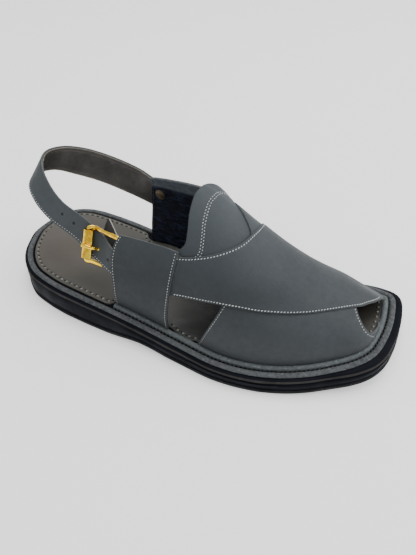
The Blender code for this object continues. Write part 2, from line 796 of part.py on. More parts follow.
# Rivet through the medial quarter and the strap, with clearance holes
rivet_foot = on_last(rivet_place[0] * sole_length, rivet_place[1], 0)
rivet_axis = on_last(rivet_place[0] * sole_length, rivet_place[1], wall) - rivet_foot
rivet_axis /= np.linalg.norm(rivet_axis)
inner_face = layer_step * 2 - gap
outer_face = layer_step * 2 + wall + strap_stand_off + strap_thickness + gap * 2
rivet_side = np.cross(rivet_axis, (1.0, 0.0, 0.0))
rivet_side /= np.linalg.norm(rivet_side)
rivet_other = np.cross(rivet_axis, rivet_side)


def lathe(bm, profile, sides):
    """Closed body of radii and heights round the rivet's axis."""
    rows = []
    for radius, height in profile:
        row = []
        for k in range(sides):
            angle = 2 * math.pi * k / sides
            spoke = math.cos(angle) * rivet_side + math.sin(angle) * rivet_other
            row.append(bm.verts.new(rivet_foot + height * rivet_axis + radius * spoke))
        rows.append(row)
    grid_faces(bm, rows, wrap_columns=True)
    bm.faces.new(rows[0])
    bm.faces.new(rows[-1])


head = rivet_head / 2
dome = rivet_head_height
bm = bmesh.new()
lathe(bm, [
    (head * 0.55, inner_face - dome), (head * 0.85, inner_face - dome * 0.8),
    (head, inner_face - dome * 0.3), (head, inner_face),
    (rivet_shank / 2, inner_face), (rivet_shank / 2, outer_face), (head, outer_face),
    (head, outer_face + dome * 0.3), (head * 0.85, outer_face + dome * 0.8),
    (head * 0.55, outer_face + dome),
], 14)
finish("rivet", bm, rivet_bronze)
for target in (upper, strap):
    bm = bmesh.new()
    hole = rivet_shank / 2 + gap
    lathe(bm, [(hole, inner_face - wall), (hole, outer_face + wall)], 14)
    combine(target, finish("cutter", bm, rivet_bronze), "DIFFERENCE")
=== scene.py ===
import math
import bmesh
import bpy
import numpy as np
from mathutils import Matrix, Vector


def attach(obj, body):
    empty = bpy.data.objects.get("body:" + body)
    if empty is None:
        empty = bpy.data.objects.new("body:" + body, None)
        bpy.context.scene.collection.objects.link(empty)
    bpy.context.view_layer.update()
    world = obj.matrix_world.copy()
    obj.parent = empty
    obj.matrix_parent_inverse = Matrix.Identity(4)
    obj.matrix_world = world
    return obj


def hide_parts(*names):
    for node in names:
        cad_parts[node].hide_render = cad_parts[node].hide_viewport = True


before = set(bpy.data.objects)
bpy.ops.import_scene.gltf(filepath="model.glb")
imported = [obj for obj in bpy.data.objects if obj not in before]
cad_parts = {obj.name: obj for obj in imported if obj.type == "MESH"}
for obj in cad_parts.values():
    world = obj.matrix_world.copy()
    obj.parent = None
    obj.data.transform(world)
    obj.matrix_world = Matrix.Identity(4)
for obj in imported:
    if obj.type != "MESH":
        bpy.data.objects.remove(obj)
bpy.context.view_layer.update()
print("frame loaded")

# sizes in metres, the same form as the CAD
shoe = {
    "length": 0.295, "ball": 0.107, "heel": 0.0228, "instep": 0.09, "spring": 0.0078,
    "gap": 0.0003, "tread": 0.003, "flare": 0.0034, "toeFlare": 0.0026,
    "weltWidth": 0.0042, "weltThick": 0.0018, "groove": 0.0014, "bead": 0.0029, "roll": 0.0045,
    "insole": 0.002, "insoleEdge": 0.006, "wall": 0.0019, "layer": 0.0015,
    "strap": 0.0024, "standOff": 0.0012, "archRise": 0.0034,
    "springStart": 0.76, "noseStart": 0.88, "pressedOver": 0.09,    # shares of the length and across
}
beadOuter = shoe["weltWidth"] + shoe["groove"]
upperOuter = beadOuter + shoe["bead"] + 0.0006
featherLine = upperOuter + shoe["wall"]
insoleEdge = featherLine + 0.0006

# share of length, lateral and medial share of ball width
outlineTable = [
    (0.012, 0.14, 0.178), (0.04, 0.285, 0.313), (0.09, 0.407, 0.386), (0.16, 0.472, 0.396),
    (0.25, 0.507, 0.377), (0.35, 0.523, 0.349), (0.45, 0.533, 0.335), (0.55, 0.559, 0.355),
    (0.65, 0.587, 0.407), (0.73, 0.568, 0.451), (0.8, 0.516, 0.473), (0.86, 0.444, 0.48),
    (0.91, 0.36, 0.475), (0.955, 0.266, 0.45), (0.985, 0.159, 0.411), (1, -0.014, 0.238),
]
deckTable = [(0, 1), (0.27, 0.985), (0.36, 0.9), (0.44, 0.735), (0.54, 0.61),
             (0.65, 0.552), (0.73, 0.545), (0.81, 0.595), (0.9, 0.72), (1, 0.925)]
archTable = [(0, 0), (0.385, 0), (0.405, 0.75), (0.44, 1), (0.48, 0.6),
             (0.52, 0.1), (0.55, 0), (1, 0)]
# share of length, crown height, crown place, lateral and medial fullness, medial lean
lastTable = [
    (0.27, 0.78, 0, 1.7, 3.2, 0.045), (0.37, 0.89, 0.019, 1.65, 3.2, 0.045),
    (0.46, 0.98, 0.037, 1.55, 3, 0.03), (0.53, 1, 0.056, 1.5, 2.6, 0.01),
    (0.59, 0.87, 0.047, 1.6, 2.4, 0), (0.65, 0.73, 0.037, 1.75, 2.4, 0),
    (0.74, 0.52, 0.023, 1.9, 2.3, 0), (0.81, 0.395, 0.028, 2, 2.2, 0),
    (0.875, 0.295, 0.056, 2, 2.1, 0), (0.93, 0.195, 0.084, 2.4, 2.4, 0),
    (0.985, 0.09, 0.103, 3, 3, 0),
]


def ramp(value, start, width):
    return np.clip((value - start) / width, 0, 1)


def eased(value, start, width):
    step = ramp(value, start, width)
    return step * step * (3 - 2 * step)


def bell(away, half):
    return np.exp(-(away / half) ** 2)


def unit(vector):
    return vector / np.maximum(np.linalg.norm(vector, axis=-1, keepdims=True), 1e-12)


def together(*values):
    return np.broadcast_arrays(*(np.asarray(value, float) for value in values))


def between(at, grid, rows):
    # rows of numbers, read at places between them
    return np.stack([np.interp(at, grid, column) for column in np.transpose(rows)], -1)


def runOf(points):
    return np.concatenate([[0], np.cumsum(np.linalg.norm(np.diff(points, axis=0), axis=1))])


def smoothCurve(points, steps, closed=False):
    pts = [np.array(p, float) for p in points]
    count = len(pts)
    if not closed:
        pts = [2 * pts[0] - pts[1]] + pts + [2 * pts[-1] - pts[-2]]
    out = []
    for i in range(count if closed else count - 1):
        a, b, c, d = (pts[(i + k - 1) % count] for k in range(4)) if closed else pts[i:i + 4]
        ab, bc, cd = (max(np.linalg.norm(q - p), 1e-9) ** 0.5 for p, q in ((a, b), (b, c), (c, d)))
        start = (c - b) + bc * ((b - a) / ab - (c - a) / (ab + bc))
        end = (c - b) + bc * ((d - c) / cd - (d - b) / (bc + cd))
        for k in range(steps):
            t = k / steps
            out.append((2 * b - 2 * c + start + end) * t ** 3
                       + (-3 * b + 3 * c - 2 * start - end) * t * t + start * t + b)
    if not closed:
        out.append(pts[-2])
    return np.array(out)


def resample(curve, count):
    run = runOf(curve)
    return between(np.linspace(0, run[-1], count), run, curve)


def tableValue(table, column, share):
    rows = np.array(table)
    total = 0
    for k in (-2, -1, 0, 1, 2):
        total = total + np.interp(np.asarray(share) + k * 0.018, rows[:, 0], rows[:, column])
    return total / 5


def makeOutline(half):
    lateral = [(0, 0)] + [(x * shoe["length"], -y * shoe["ball"]) for x, y, _ in outlineTable]
    medial = [(x * shoe["length"], z * shoe["ball"]) for x, _, z in reversed(outlineTable)]
    curve = smoothCurve(lateral + medial, 24, closed=True)
    curve = np.roll(curve, -int(np.argmin(curve[:, 0])), axis=0)
    front = int(np.argmax(curve[:, 0]))
    side = resample(curve[:front + 1], half + 1)
    back = resample(np.vstack([curve[front:], curve[:1]]), half + 1)
    ring = np.vstack([side[:-1], back[:-1]])
    along = unit(np.roll(ring, -1, axis=0) - np.roll(ring, 1, axis=0))
    return ring, np.column_stack([along[:, 1], -along[:, 0]])


outlineHalf = 150
outline, outward = makeOutline(outlineHalf)
shift = np.array([-(shoe["length"] + shoe["toeFlare"]) / 2,
                  -(outline[:, 1].max() + outline[:, 1].min()) / 2, 0])
outlineX = outline[:, 0]


def deck(x):
    return shoe["heel"] * tableValue(deckTable, 1, np.asarray(x) / shoe["length"])


def underside(x):
    share = np.asarray(x) / shoe["length"]
    rise = shoe["archRise"] * tableValue(archTable, 1, share)
    spring = np.clip((share - shoe["springStart"]) / (1 - shoe["springStart"]), 0, None)
    return np.maximum(rise, 0) + shoe["spring"] * spring ** 2


def sideFlare(x):
    return shoe["flare"] + shoe["toeFlare"] * eased(np.asarray(x) / shoe["length"], shoe["noseStart"], 0.12)


def featherLines():
    fine, fineOutward = makeOutline(240)
    ring = fine - featherLine * fineOutward
    ring = np.roll(ring, -int(np.argmin(ring[:, 0])), axis=0)
    high = int(np.argmax(ring[:, 0]))
    lateral, medial = ring[:high + 1], ring[high:]
    return lateral[np.argsort(lateral[:, 0])], medial[np.argsort(medial[:, 0])]


lateralLine, medialLine = featherLines()


def lastPoint(x, t):
    share = x / shoe["length"]
    height, crown, lateralFull, medialFull, lean = (tableValue(lastTable, k, share) for k in range(1, 6))
    crown, lean = crown * shoe["ball"], lean * shoe["ball"]
    yLateral = np.interp(x, lateralLine[:, 0], lateralLine[:, 1])
    yMedial = np.interp(x, medialLine[:, 0], medialLine[:, 1])
    angle = np.abs(2 * t - 1) * math.pi / 2
    isLateral = t < 0.5
    power = 2 / np.where(isLateral, lateralFull, medialFull)
    reach = np.where(isLateral, yLateral - crown, yMedial - crown)
    up = np.clip(np.cos(angle), 0, 1) ** power
    out = np.sin(angle) ** power
    tilt = lean * np.sin(math.pi * np.clip(up * 1.05, 0, 1) / 2) * out
    y = crown + reach * out + np.where(isLateral, 0, tilt)
    return np.stack([x + 0 * t, y, deck(x) + shoe["gap"] + shoe["instep"] * height * up], -1)


def onLast(x, t, offset=0):
    x, t, offset = together(x, t, offset)
    across = lastPoint(x, np.clip(t + 0.001, 0, 1)) - lastPoint(x, np.clip(t - 0.001, 0, 1))
    along = lastPoint(x + 0.001, t) - lastPoint(x - 0.001, t)
    return lastPoint(x, t) + offset[..., None] * unit(np.cross(along, across))


def onShare(share, t, offset=0):
    return onLast(share * shoe["length"], t, offset)


def pressed(t, offset):
    # layers close up towards the sole, where the leather is pressed together
    return offset * eased(np.minimum(t, 1 - t), 0, shoe["pressedOver"])


# shader maths on sockets
class Sock:
    def __init__(self, graph, socket):
        self.graph, self.socket = graph, socket

    def math(self, operation, other=None):
        inputs = {0: self} if other is None else {0: self, 1: other}
        return self.graph.make("ShaderNodeMath", {"operation": operation}, inputs)

    def __add__(self, other):
        return self.math("ADD", other)

    def __mul__(self, other):
        return self.math("MULTIPLY", other)

    def __sub__(self, other):
        return self.math("SUBTRACT", other)

    def __rsub__(self, other):
        return self.graph.make("ShaderNodeMath", {"operation": "SUBTRACT"}, {0: other, 1: self})

    __radd__ = __add__
    __rmul__ = __mul__


def scaled(colour, amount):
    return tuple(c * amount for c in colour)


class Graph:
    def __init__(self, name):
        self.mat = bpy.data.materials.new(name)
        self.mat.use_nodes = True
        self.tree = self.mat.node_tree
        self.shader = self.tree.nodes["Principled BSDF"]
        self.at = self.make("ShaderNodeTexCoord", output="Object")

    def make(self, kind, settings=None, inputs=None, output=0):
        node = self.tree.nodes.new(kind)
        for key, value in (settings or {}).items():
            setattr(node, key, value)
        for key, value in (inputs or {}).items():
            if isinstance(value, Sock):
                self.tree.links.new(value.socket, node.inputs[key])
            else:
                node.inputs[key].default_value = value
        return Sock(self, node.outputs[output])

    def noise(self, scale, detail=3, rough=0.55, stretch=None):
        at = self.at
        if stretch:
            at = self.make("ShaderNodeMapping", None, {"Vector": at, "Scale": stretch})
        return self.make("ShaderNodeTexNoise", None, {
            "Vector": at, "Scale": scale, "Detail": detail, "Roughness": rough})

    def cells(self, scale):
        return self.make("ShaderNodeTexVoronoi", {"feature": "F1"}, {"Vector": self.at, "Scale": scale})

    def mix(self, factor, a, b):
        a, b = ((*c, 1) if isinstance(c, tuple) else c for c in (a, b))
        return self.make("ShaderNodeMix", {"data_type": "RGBA"}, {"Factor": factor, 6: a, 7: b}, 2)

    def remap(self, value, low, high, toLow=0, toHigh=1):
        return self.make("ShaderNodeMapRange", None, {
            "Value": value, "From Min": low, "From Max": high, "To Min": toLow, "To Max": toHigh})

    def patches(self, scale, detail, low, high, toLow=0, toHigh=1, rough=0.55):
        return self.remap(self.noise(scale, detail, rough), low, high, toLow, toHigh)

    def split(self, vector, axis):
        return self.make("ShaderNodeSeparateXYZ", None, {0: vector}, axis)

    def finish(self, colour, roughness, height=None, bump=0.3, depth=0.0003, **fixed):
        sockets = self.shader.inputs
        for name, value in (("Base Color", colour), ("Roughness", roughness)):
            if isinstance(value, Sock):
                self.tree.links.new(value.socket, sockets[name])
            else:
                sockets[name].default_value = (*value, 1) if isinstance(value, tuple) else value
        if height is not None:
            node = self.make("ShaderNodeBump", None, {"Strength": bump, "Distance": depth, "Height": height})
            self.tree.links.new(node.socket, sockets["Normal"])
        for name, value in fixed.items():
            sockets[name.replace("_", " ")].default_value = value
        return self.mat


def slateLeather(name, dark, light, warm, roughness=0.62, paintedShade=0):
    g = Graph(name)
    cloud = g.patches(22, 4, 0.32, 0.68)
    nap = g.patches(260, 4, 0.3, 0.7, rough=0.65)
    base = g.mix(cloud, dark, light)
    base = g.mix(g.patches(9, 2, 0.42, 0.75, 0, 0.45), base, warm)
    pores = g.remap(g.cells(1500), 0, 0.42)
    base = g.mix(g.remap(nap, 0, 1, 0.16, 0), base, scaled(dark, 0.55))
    base = g.mix(g.remap(pores, 0, 1, 0.1, 0), base, scaled(dark, 0.5))
    rough = g.remap(nap, 0, 1, roughness + 0.08, roughness - 0.05)
    height = pores * 0.55 + nap * 0.35 + g.noise(70, 3) * 0.8
    if paintedShade:
        # painted shade and light: darker towards the heel, lighter up the instep, where the faces turn up to the
        # light
        base = g.mix(g.remap(g.split(g.at, 0), -0.05, 0.1, paintedShade, 0), base, scaled(dark, 0.35))
        base = g.mix(g.remap(g.split(g.at, 2), 0.056, 0.095, 0, 0.5), base, scaled(light, 1.75))
    return g.finish(base, rough, height, 0.3, 0.00035,
                    Specular_IOR_Level=0.3, Sheen_Weight=0.08, Sheen_Roughness=0.5)


def brushedLeather(name, dark, light):
    g = Graph(name)
    fibre = g.patches(420, 5, 0.3, 0.7, rough=0.7)
    cloud = g.patches(38, 3, 0.35, 0.65)
    base = g.mix(fibre, dark, light)
    base = g.mix(cloud * 0.35, base, scaled(light, 1.25))
    # small pale flecks over the fibres
    paleFlecks = g.patches(620, 3, 0.56, 0.68, rough=0.7)
    base = g.mix(paleFlecks * 0.6, base, scaled(light, 2.2))
    return g.finish(base, g.remap(fibre, 0, 1, 0.84, 0.68), fibre * 0.7 + cloud * 0.4, 0.5, 0.0004,
                    Specular_IOR_Level=0.35)


def navyLining(name):
    g = Graph(name)
    fold = g.noise(1, 4, 0.62, stretch=(95, 60, 430))
    fine = g.noise(900, 2)
    ridgeAndHighlight = g.remap(fold, 0.46, 0.64)
    # the fold ridges are painted lighter blue, a painted highlight; the same mask also gives their bump and gloss
    base = g.mix(ridgeAndHighlight, (0.0008, 0.0018, 0.009), (0.014, 0.024, 0.06))
    # the facing is a lighter strip along the top: turned slate leather, painted much lighter than the upper as
    # painted light where it leans up to the light
    along = g.split(g.make("ShaderNodeTexCoord", output="UV"), 0)
    facing = g.remap(along + (g.noise(90, 3) - 0.5) * 0.06, 0.735, 0.8)
    slate = g.mix(g.patches(150, 4, 0.3, 0.7), (0.07, 0.086, 0.105), (0.115, 0.132, 0.15))
    base = g.mix(facing, base, slate)
    rough = g.remap(ridgeAndHighlight, 0, 1, 0.6, 0.4)
    height = ridgeAndHighlight * (1 - facing * 0.8) + fine * 0.25
    return g.finish(base, rough, height, 0.9, 0.0014, Specular_IOR_Level=0.22)


def strapLining(name):
    g = Graph(name)
    v = g.split(g.make("ShaderNodeTexCoord", output="UV"), 1)
    away = (v - 0.5).math("ABSOLUTE") + (g.noise(120, 2) - 0.5) * 0.012
    edge = g.remap(away, 0.452, 0.472)
    seam = g.remap((away - 0.372).math("ABSOLUTE"), 0, 0.016, 1, 0)
    worn = g.patches(70, 5, 0.35, 0.7, rough=0.65)
    base = g.mix(worn, (0.032, 0.03, 0.0285), (0.07, 0.063, 0.058))
    spots = g.patches(210, 3, 0.64, 0.78)
    base = g.mix(spots * 0.35, base, (0.13, 0.12, 0.115))
    base = g.mix(g.remap(away, 0.38, 0.4) * 0.5, base, (0.08, 0.072, 0.064))
    base = g.mix(seam * 0.5, base, (0.11, 0.1, 0.09))
    turned = g.mix(worn, (0.115, 0.103, 0.09), (0.19, 0.172, 0.15))
    base = g.mix(edge, base, turned)
    ripple = g.noise(1, 3, stretch=(300, 300, 90))
    rough = g.remap(worn, 0, 1, 0.5, 0.36)
    height = edge * 0.8 + worn * 0.4 + ripple * 0.25
    return g.finish(base, rough, height, 0.5, 0.0005, Specular_IOR_Level=0.35)


def taupeInsole(name):
    g = Graph(name)
    cloud = g.patches(16, 4, 0.35, 0.68)
    base = g.mix(cloud, (0.047, 0.044, 0.036), (0.073, 0.065, 0.054))
    x = g.split(g.at, 0)
    ahead, aside = x + 0.108, g.split(g.at, 1) + 0.004
    seat = g.remap(ahead * ahead + aside * aside * 2, 0, 0.0022, 1, 0)    # worn where the heel rests
    base = g.mix(seat * 0.75, base, (0.094, 0.077, 0.064))
    # painted shade inside the shoe under the upper, from the waist forward, fading again near the toe
    front = g.remap(x, -0.055, 0.015) * g.remap(x, 0.105, 0.125, 1, 0.25)
    base = g.mix(front * 0.95, base, (0.007, 0.0064, 0.006))
    fine = g.remap(g.cells(1100), 0, 0.5)
    scratch = g.remap(g.noise(1, 4, stretch=(40, 420, 40)), 0.58, 0.72)
    base = g.mix(scratch * 0.05, base, (0.2, 0.18, 0.15))
    rough = g.patches(55, 4, 0.3, 0.7, 0.36, 0.56)
    return g.finish(base, rough, fine * 0.5 + g.noise(60) * 0.5, 0.22, 0.0003)


def blackRubber(name, base, rough, mottled):
    g = Graph(name)
    cloud = g.patches(60, 4, 0.3, 0.7)
    colour = g.mix(cloud, base, scaled(base, 1.7))
    dust = g.patches(340, 3, 0.6, 0.75)
    colour = g.mix(dust * mottled, colour, (0.075, 0.068, 0.06))
    streak = g.noise(1, 4, stretch=(70, 70, 700))
    rough = g.remap(cloud, 0, 1, rough + 0.07, rough - 0.08)
    return g.finish(colour, rough, streak * 0.6 + cloud * 0.4, 0.25, 0.0004, Specular_IOR_Level=0.05)


def goldMetal(name, colour, rough):
    g = Graph(name)
    dent = g.noise(190, 3)
    # random darker orange patches: painted dark reflections on the metal
    darkReflection = (colour[0] * 0.8, colour[1] * 0.62, colour[2] * 0.4)
    tint = g.mix(g.patches(330, 3, 0.42, 0.6), colour, darkReflection)
    return g.finish(tint, g.remap(dent, 0.3, 0.7, rough - 0.06, rough + 0.1), dent, 0.35, 0.0009, Metallic=1)


def threadMaterial(name, colour, dark):
    g = Graph(name)
    ply = g.noise(1800, 2)
    shade = g.patches(90, 2, 0.3, 0.7)
    base = g.mix(shade, colour, dark)
    return g.finish(base, 0.8, ply, 0.6, 0.0002)


def edgePaint(name, colour):
    g = Graph(name)
    fibre = g.noise(500, 3)
    base = g.mix(g.remap(fibre, 0.3, 0.7), colour, scaled(colour, 1.5))
    return g.finish(base, 0.66, fibre, 0.4, 0.0003)


# finishes: dark and light colour, then what the finish needs
# the upper's leather carries painted shade towards the heel and painted light up the instep
leather = slateLeather("slate leather", (0.0265, 0.0325, 0.0375), (0.039, 0.046, 0.0515), (0.05, 0.052, 0.055),
                       paintedShade=0.5)
# the strap's leather is a lighter copy of the upper's: painted light where the strap faces up to the light
litStrapSkin = slateLeather("strap leather painted light", (0.036, 0.044, 0.049), (0.053, 0.061, 0.067), (0.06, 0.064, 0.067))
innerSkin = slateLeather("upper lining", (0.008, 0.009, 0.011), (0.015, 0.016, 0.018), (0.018, 0.018, 0.018), 0.6)
# the guard's leather is a darker copy of the upper's: painted shade under the buckle
shadedGuardSkin = slateLeather("guard leather painted shade", (0.014, 0.015, 0.016), (0.024, 0.025, 0.026), (0.03, 0.029, 0.028))
weltSkin = brushedLeather("welt leather", (0.022, 0.0245, 0.0265), (0.078, 0.083, 0.087))
beadSkin = brushedLeather("bead leather", (0.046, 0.054, 0.056), (0.095, 0.107, 0.11))
insoleSkin = taupeInsole("insole leather")
quarterLining = navyLining("quarter lining")
beltLining = strapLining("strap lining")
cutEdge = edgePaint("cut edge", (0.05, 0.055, 0.058))
liningEdge = edgePaint("lining edge", (0.115, 0.104, 0.09))
guardEdge = edgePaint("guard edge", (0.3, 0.285, 0.26))
sideRubber = blackRubber("sole side", (0.0028, 0.0034, 0.0058), 0.5, 0.05)
# the lip rubber is lighter: a painted highlight line along the top of the sole side
lipHighlightRubber = blackRubber("sole lip painted highlight", (0.026, 0.0245, 0.024), 0.5, 0.7)
treadRubber = blackRubber("tread", (0.017, 0.0175, 0.0195), 0.6, 0.45)
gold = goldMetal("buckle gold", (1, 0.71, 0.065), 0.16)
bronze = goldMetal("rivet bronze", (0.17, 0.152, 0.118), 0.42)
paleThread = threadMaterial("pale thread", (0.62, 0.64, 0.63), (0.4, 0.43, 0.43))
liningThread = threadMaterial("lining thread", (0.12, 0.13, 0.14), (0.05, 0.055, 0.06))
blackThread = threadMaterial("black thread", (0.006, 0.007, 0.008), (0.016, 0.018, 0.02))
greyThread = threadMaterial("insole thread", (0.25, 0.26, 0.23), (0.12, 0.125, 0.11))
# black marks for needle and punched holes: painted shade in the holes
holeShade = threadMaterial("needle hole painted shade", (0.004, 0.004, 0.004), (0.009, 0.009, 0.009))
print("materials made")


def finishPiece(name, bm, mats, nodes, angle=50):
    bmesh.ops.translate(bm, verts=bm.verts, vec=Vector(shift))
    bmesh.ops.recalc_face_normals(bm, faces=bm.faces)
    mesh = bpy.data.meshes.new(name)
    bm.to_mesh(mesh)
    bm.free()
    for mat in mats:
        mesh.materials.append(mat)
    obj = bpy.data.objects.new(name, mesh)
    bpy.context.scene.collection.objects.link(obj)
    mesh.shade_smooth()
    mesh.set_sharp_from_angle(angle=math.radians(angle))
    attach(obj, "root")
    if nodes:
        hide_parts(*nodes)
    return obj


def spread(count, width, edgeStep):
    # places across a band, closer together near its edges
    even = np.linspace(0, 1, count + 1)
    share = np.clip(1 - edgeStep / width * count, 0, 1) * 0.75
    return even * (1 - share) + (0.5 - 0.5 * np.cos(math.pi * even)) * share


def sheetPiece(name, point, along, across, mats, nodes, width=0.05, edgeStep=0.0006, rounding=0.00045):
    # a grid and its back, put in place by the point function; materials are face, back and edge
    bm = bmesh.new()
    bmesh.ops.create_grid(bm, x_segments=along, y_segments=across, size=0.5)
    uvLayer = bm.loops.layers.uv.new("UVMap")
    extruded = bmesh.ops.extrude_face_region(bm, geom=bm.faces[:] + bm.edges[:] + bm.verts[:], use_keep_orig=True)
    inner = [part for part in extruded["geom"] if isinstance(part, bmesh.types.BMVert)]
    bmesh.ops.translate(bm, verts=inner, vec=(0, 0, -1))
    even, places = np.linspace(0, 1, across + 1), spread(across, width, edgeStep)
    for face in bm.faces:
        heights = [vert.co.z for vert in face.verts]
        face.material_index = 0 if min(heights) > -0.5 else (1 if max(heights) < -0.5 else 2)
        for loop in face.loops:
            x, y, _ = loop.vert.co
            loop[uvLayer].uv = (x + 0.5, float(np.interp(y + 0.5, even, places)))
    co = np.array([tuple(vert.co) for vert in bm.verts])
    made = point(co[:, 0] + 0.5, np.interp(co[:, 1] + 0.5, even, places), co[:, 2] < -0.5)
    for vert, place in zip(bm.verts, made):
        vert.co = place
    bmesh.ops.recalc_face_normals(bm, faces=bm.faces)
    if rounding:
        rims = [edge for edge in bm.edges
                if {face.material_index for face in edge.link_faces} in ({0, 2}, {1, 2})]
        bmesh.ops.bevel(bm, geom=rims, offset=rounding, segments=2, profile=0.5, affect="EDGES",
                        material=-1, clamp_overlap=True)
    return finishPiece(name, bm, mats, nodes)


def curveOf(points, count=400):
    curve = smoothCurve(points, 24)
    return between(np.linspace(0, len(curve) - 1, count), np.arange(len(curve)), curve)


def edgesOf(table):
    # rows: share across, share of length at one edge and at the other
    return [(row[1], row[0]) for row in table], [(row[-1], row[-2] if len(row) > 3 else row[0]) for row in table]


def bandPoint(first, second, base, thickness, creases=(), rows=()):
    # a band of leather on the last between two edges, with its stitch troughs and creases
    a, b = curveOf(first), curveOf(second)
    grid = np.linspace(0, 1, len(a))
    ends = [onShare(c[:, 0], np.clip(c[:, 1], 0, 1)) for c in (a, b)]
    width = np.linalg.norm(ends[0] - ends[1], axis=1)

    def point(u, v, inner):
        u, v, inner = together(u, v, inner)
        pa, pb = between(u, grid, a), between(u, grid, b)
        chart = pa * (1 - v[..., None]) + pb * v[..., None]
        wide = np.interp(u, grid, width)
        share, t = chart[..., 0], np.clip(chart[..., 1], 0, 1)
        low = pressed(t, base(share, t))
        relief = np.zeros_like(share)
        for side, distance, deep, half in rows:
            d = (v if side == 0 else 1 - v) * wide
            relief = relief - deep * bell(d - distance, half)
        for d in (v * wide, (1 - v) * wide):
            relief = relief - sew["edgeDrop"] * bell(d, sew["edgeHalf"])
        for u0, v0, u1, v1, half, deep in creases:
            du, dv = (u1 - u0) * creaseScale[0], (v1 - v0) * creaseScale[1]
            pu, pv = (u - u0) * creaseScale[0], (v - v0) * creaseScale[1]
            along = np.clip((pu * du + pv * dv) / (du * du + dv * dv), 0, 1)
            away = np.hypot(pu - along * du, pv - along * dv)
            relief = relief + deep * bell(away, half)
        return onShare(share, t, low + np.where(inner, 0.15 * relief, thickness + relief))

    point.width = lambda u: np.interp(u, grid, width)
    return point


def rowOn(point, u, v, lift=0):
    # places and outward directions along a line on a sheet
    here = point(u, v, False)
    du = 0.002
    along = point(np.clip(u + du, 0, 1), v, False) - point(np.clip(u - du, 0, 1), v, False)
    across = point(u, np.clip(v + 0.01, 0, 1), False) - point(u, np.clip(v - 0.01, 0, 1), False)
    out = unit(np.cross(along, across))
    return here + lift * out, out


def stitches(name, runs, mat, pitch, length, radius, slant=0, flat=0.65, lift=0, jitter=0, phase=0.5):
    bm = bmesh.new()
    rng = np.random.default_rng(7)
    for places, outs in runs:
        run = runOf(places)
        count = max(int(run[-1] / pitch), 1)
        for k in range(count):
            at = (k + phase) * run[-1] / count
            out = unit(between(at, run, outs))
            before, after = (between(at + step, run, places) for step in (-pitch * 0.4, pitch * 0.4))
            along = after - before
            along = unit(along - out * np.dot(along, out))
            turn = slant + jitter * rng.normal()
            thread = along * math.cos(turn) + np.cross(out, along) * math.sin(turn)
            basis = np.eye(4)
            basis[:3, 0] = thread * length / 2
            basis[:3, 1] = np.cross(out, thread) * radius
            basis[:3, 2] = out * radius * flat
            basis[:3, 3] = between(at, run, places) + out * lift
            bmesh.ops.create_uvsphere(bm, u_segments=6, v_segments=4, radius=1, matrix=Matrix(basis.tolist()))
    return finishPiece(name, bm, [mat], ())


def loftPiece(name, rings, mats, nodes, closedTube=False, closedRing=True, angle=50, faceMats=None):
    # first ring is a circle of edges; every next ring is extruded from it and set in place
    bm = bmesh.new()
    place = bm.verts.layers.int.new("place")
    if closedRing:
        bmesh.ops.create_circle(bm, segments=len(rings[0]), radius=1)
    else:
        verts = [bm.verts.new((i, 0, 0)) for i in range(len(rings[0]))]
        for a, b in zip(verts, verts[1:]):
            bm.edges.new((a, b))
    for i, vert in enumerate(bm.verts):
        vert[place] = i
        vert.co = rings[0][i]
    firstEdges = edges = list(bm.edges)
    for level, ring in enumerate(rings[1:]):
        made = bmesh.ops.extrude_edge_only(bm, edges=edges)["geom"]
        verts = {part for part in made if isinstance(part, bmesh.types.BMVert)}
        edges = [part for part in made if isinstance(part, bmesh.types.BMEdge) and verts.issuperset(part.verts)]
        for vert in verts:
            vert.co = ring[vert[place]]
        for part in made:
            if faceMats and isinstance(part, bmesh.types.BMFace):
                part.material_index = faceMats[level]
    if closedTube:
        bmesh.ops.bridge_loops(bm, edges=firstEdges + edges)
    else:
        for rim in (firstEdges, edges):
            bmesh.ops.holes_fill(bm, edges=rim, sides=0)
    return finishPiece(name, bm, mats, nodes, angle=angle)


def offsetRing(amount):
    amount = np.broadcast_to(np.asarray(amount, float), (len(outline),))
    return outline + amount[:, None] * outward


def ringAt(amount, height):
    ring = offsetRing(amount)
    return np.column_stack([ring, np.broadcast_to(height, (len(ring),))])


# sole: rows of outset past the outline, height and whether the edge wobbles
soleLook = {"wobble": 0.00012}
flare, under, top = sideFlare(outlineX), underside(outlineX), deck(outlineX)
arc = np.arange(len(outline)) * 2 * math.pi / len(outline)
wobble = soleLook["wobble"] * (np.sin(arc * 9 + 1) + 0.7 * np.sin(arc * 23 + 2) + 0.5 * np.sin(arc * 41))
treadTop = under + shoe["tread"]
foot = treadTop + shoe["gap"] * 0.3
treadRows = [
    (-0.006, under + 0.0001, 0), (-0.0014, under, 0), (-0.0004, under + 0.0004, 0), (0, under + 0.0012, 1),
    (0, treadTop - 0.0006, 1), (-0.0004, treadTop - 0.0001, 0), (-0.0014, treadTop, 0), (-0.005, treadTop, 0)]
sideRows = [
    (-0.004, foot, 0), (-0.0014, foot + 0.0001, 0), (-0.0009, foot + 0.0007, 0),
    (-0.0005, foot * 0.72 + top * 0.28, 1), (-0.0004, foot * 0.45 + top * 0.55, 1), (-0.0011, top - 0.004, 1),
    (-0.0016, top - 0.0032, 0), (-0.0014, top - 0.0029, 0), (-0.0006, top - 0.0023, 1), (-0.0007, top - 0.0014, 1),
    (-0.0013, top - 0.0009, 0), (-0.0026, top - 0.0006, 0), (-0.0034, top - 0.0002, 0)]
treadRings, sideRings = ([ringAt(flare + outset + wobble * wobbles, height) for outset, height, wobbles in rows]
                         for rows in (treadRows, sideRows))
loftPiece("soleTread", treadRings, [treadRubber], ("outsole",))
# its two lip levels take the lip rubber, the painted highlight line
loftPiece("soleSide", sideRings + [ringAt(-0.003, top), ringAt(-0.01, top)], [sideRubber, lipHighlightRubber],
          ("midsole",), faceMats=[0] * 8 + [1] * 2 + [0] * 4)
print("sole made")


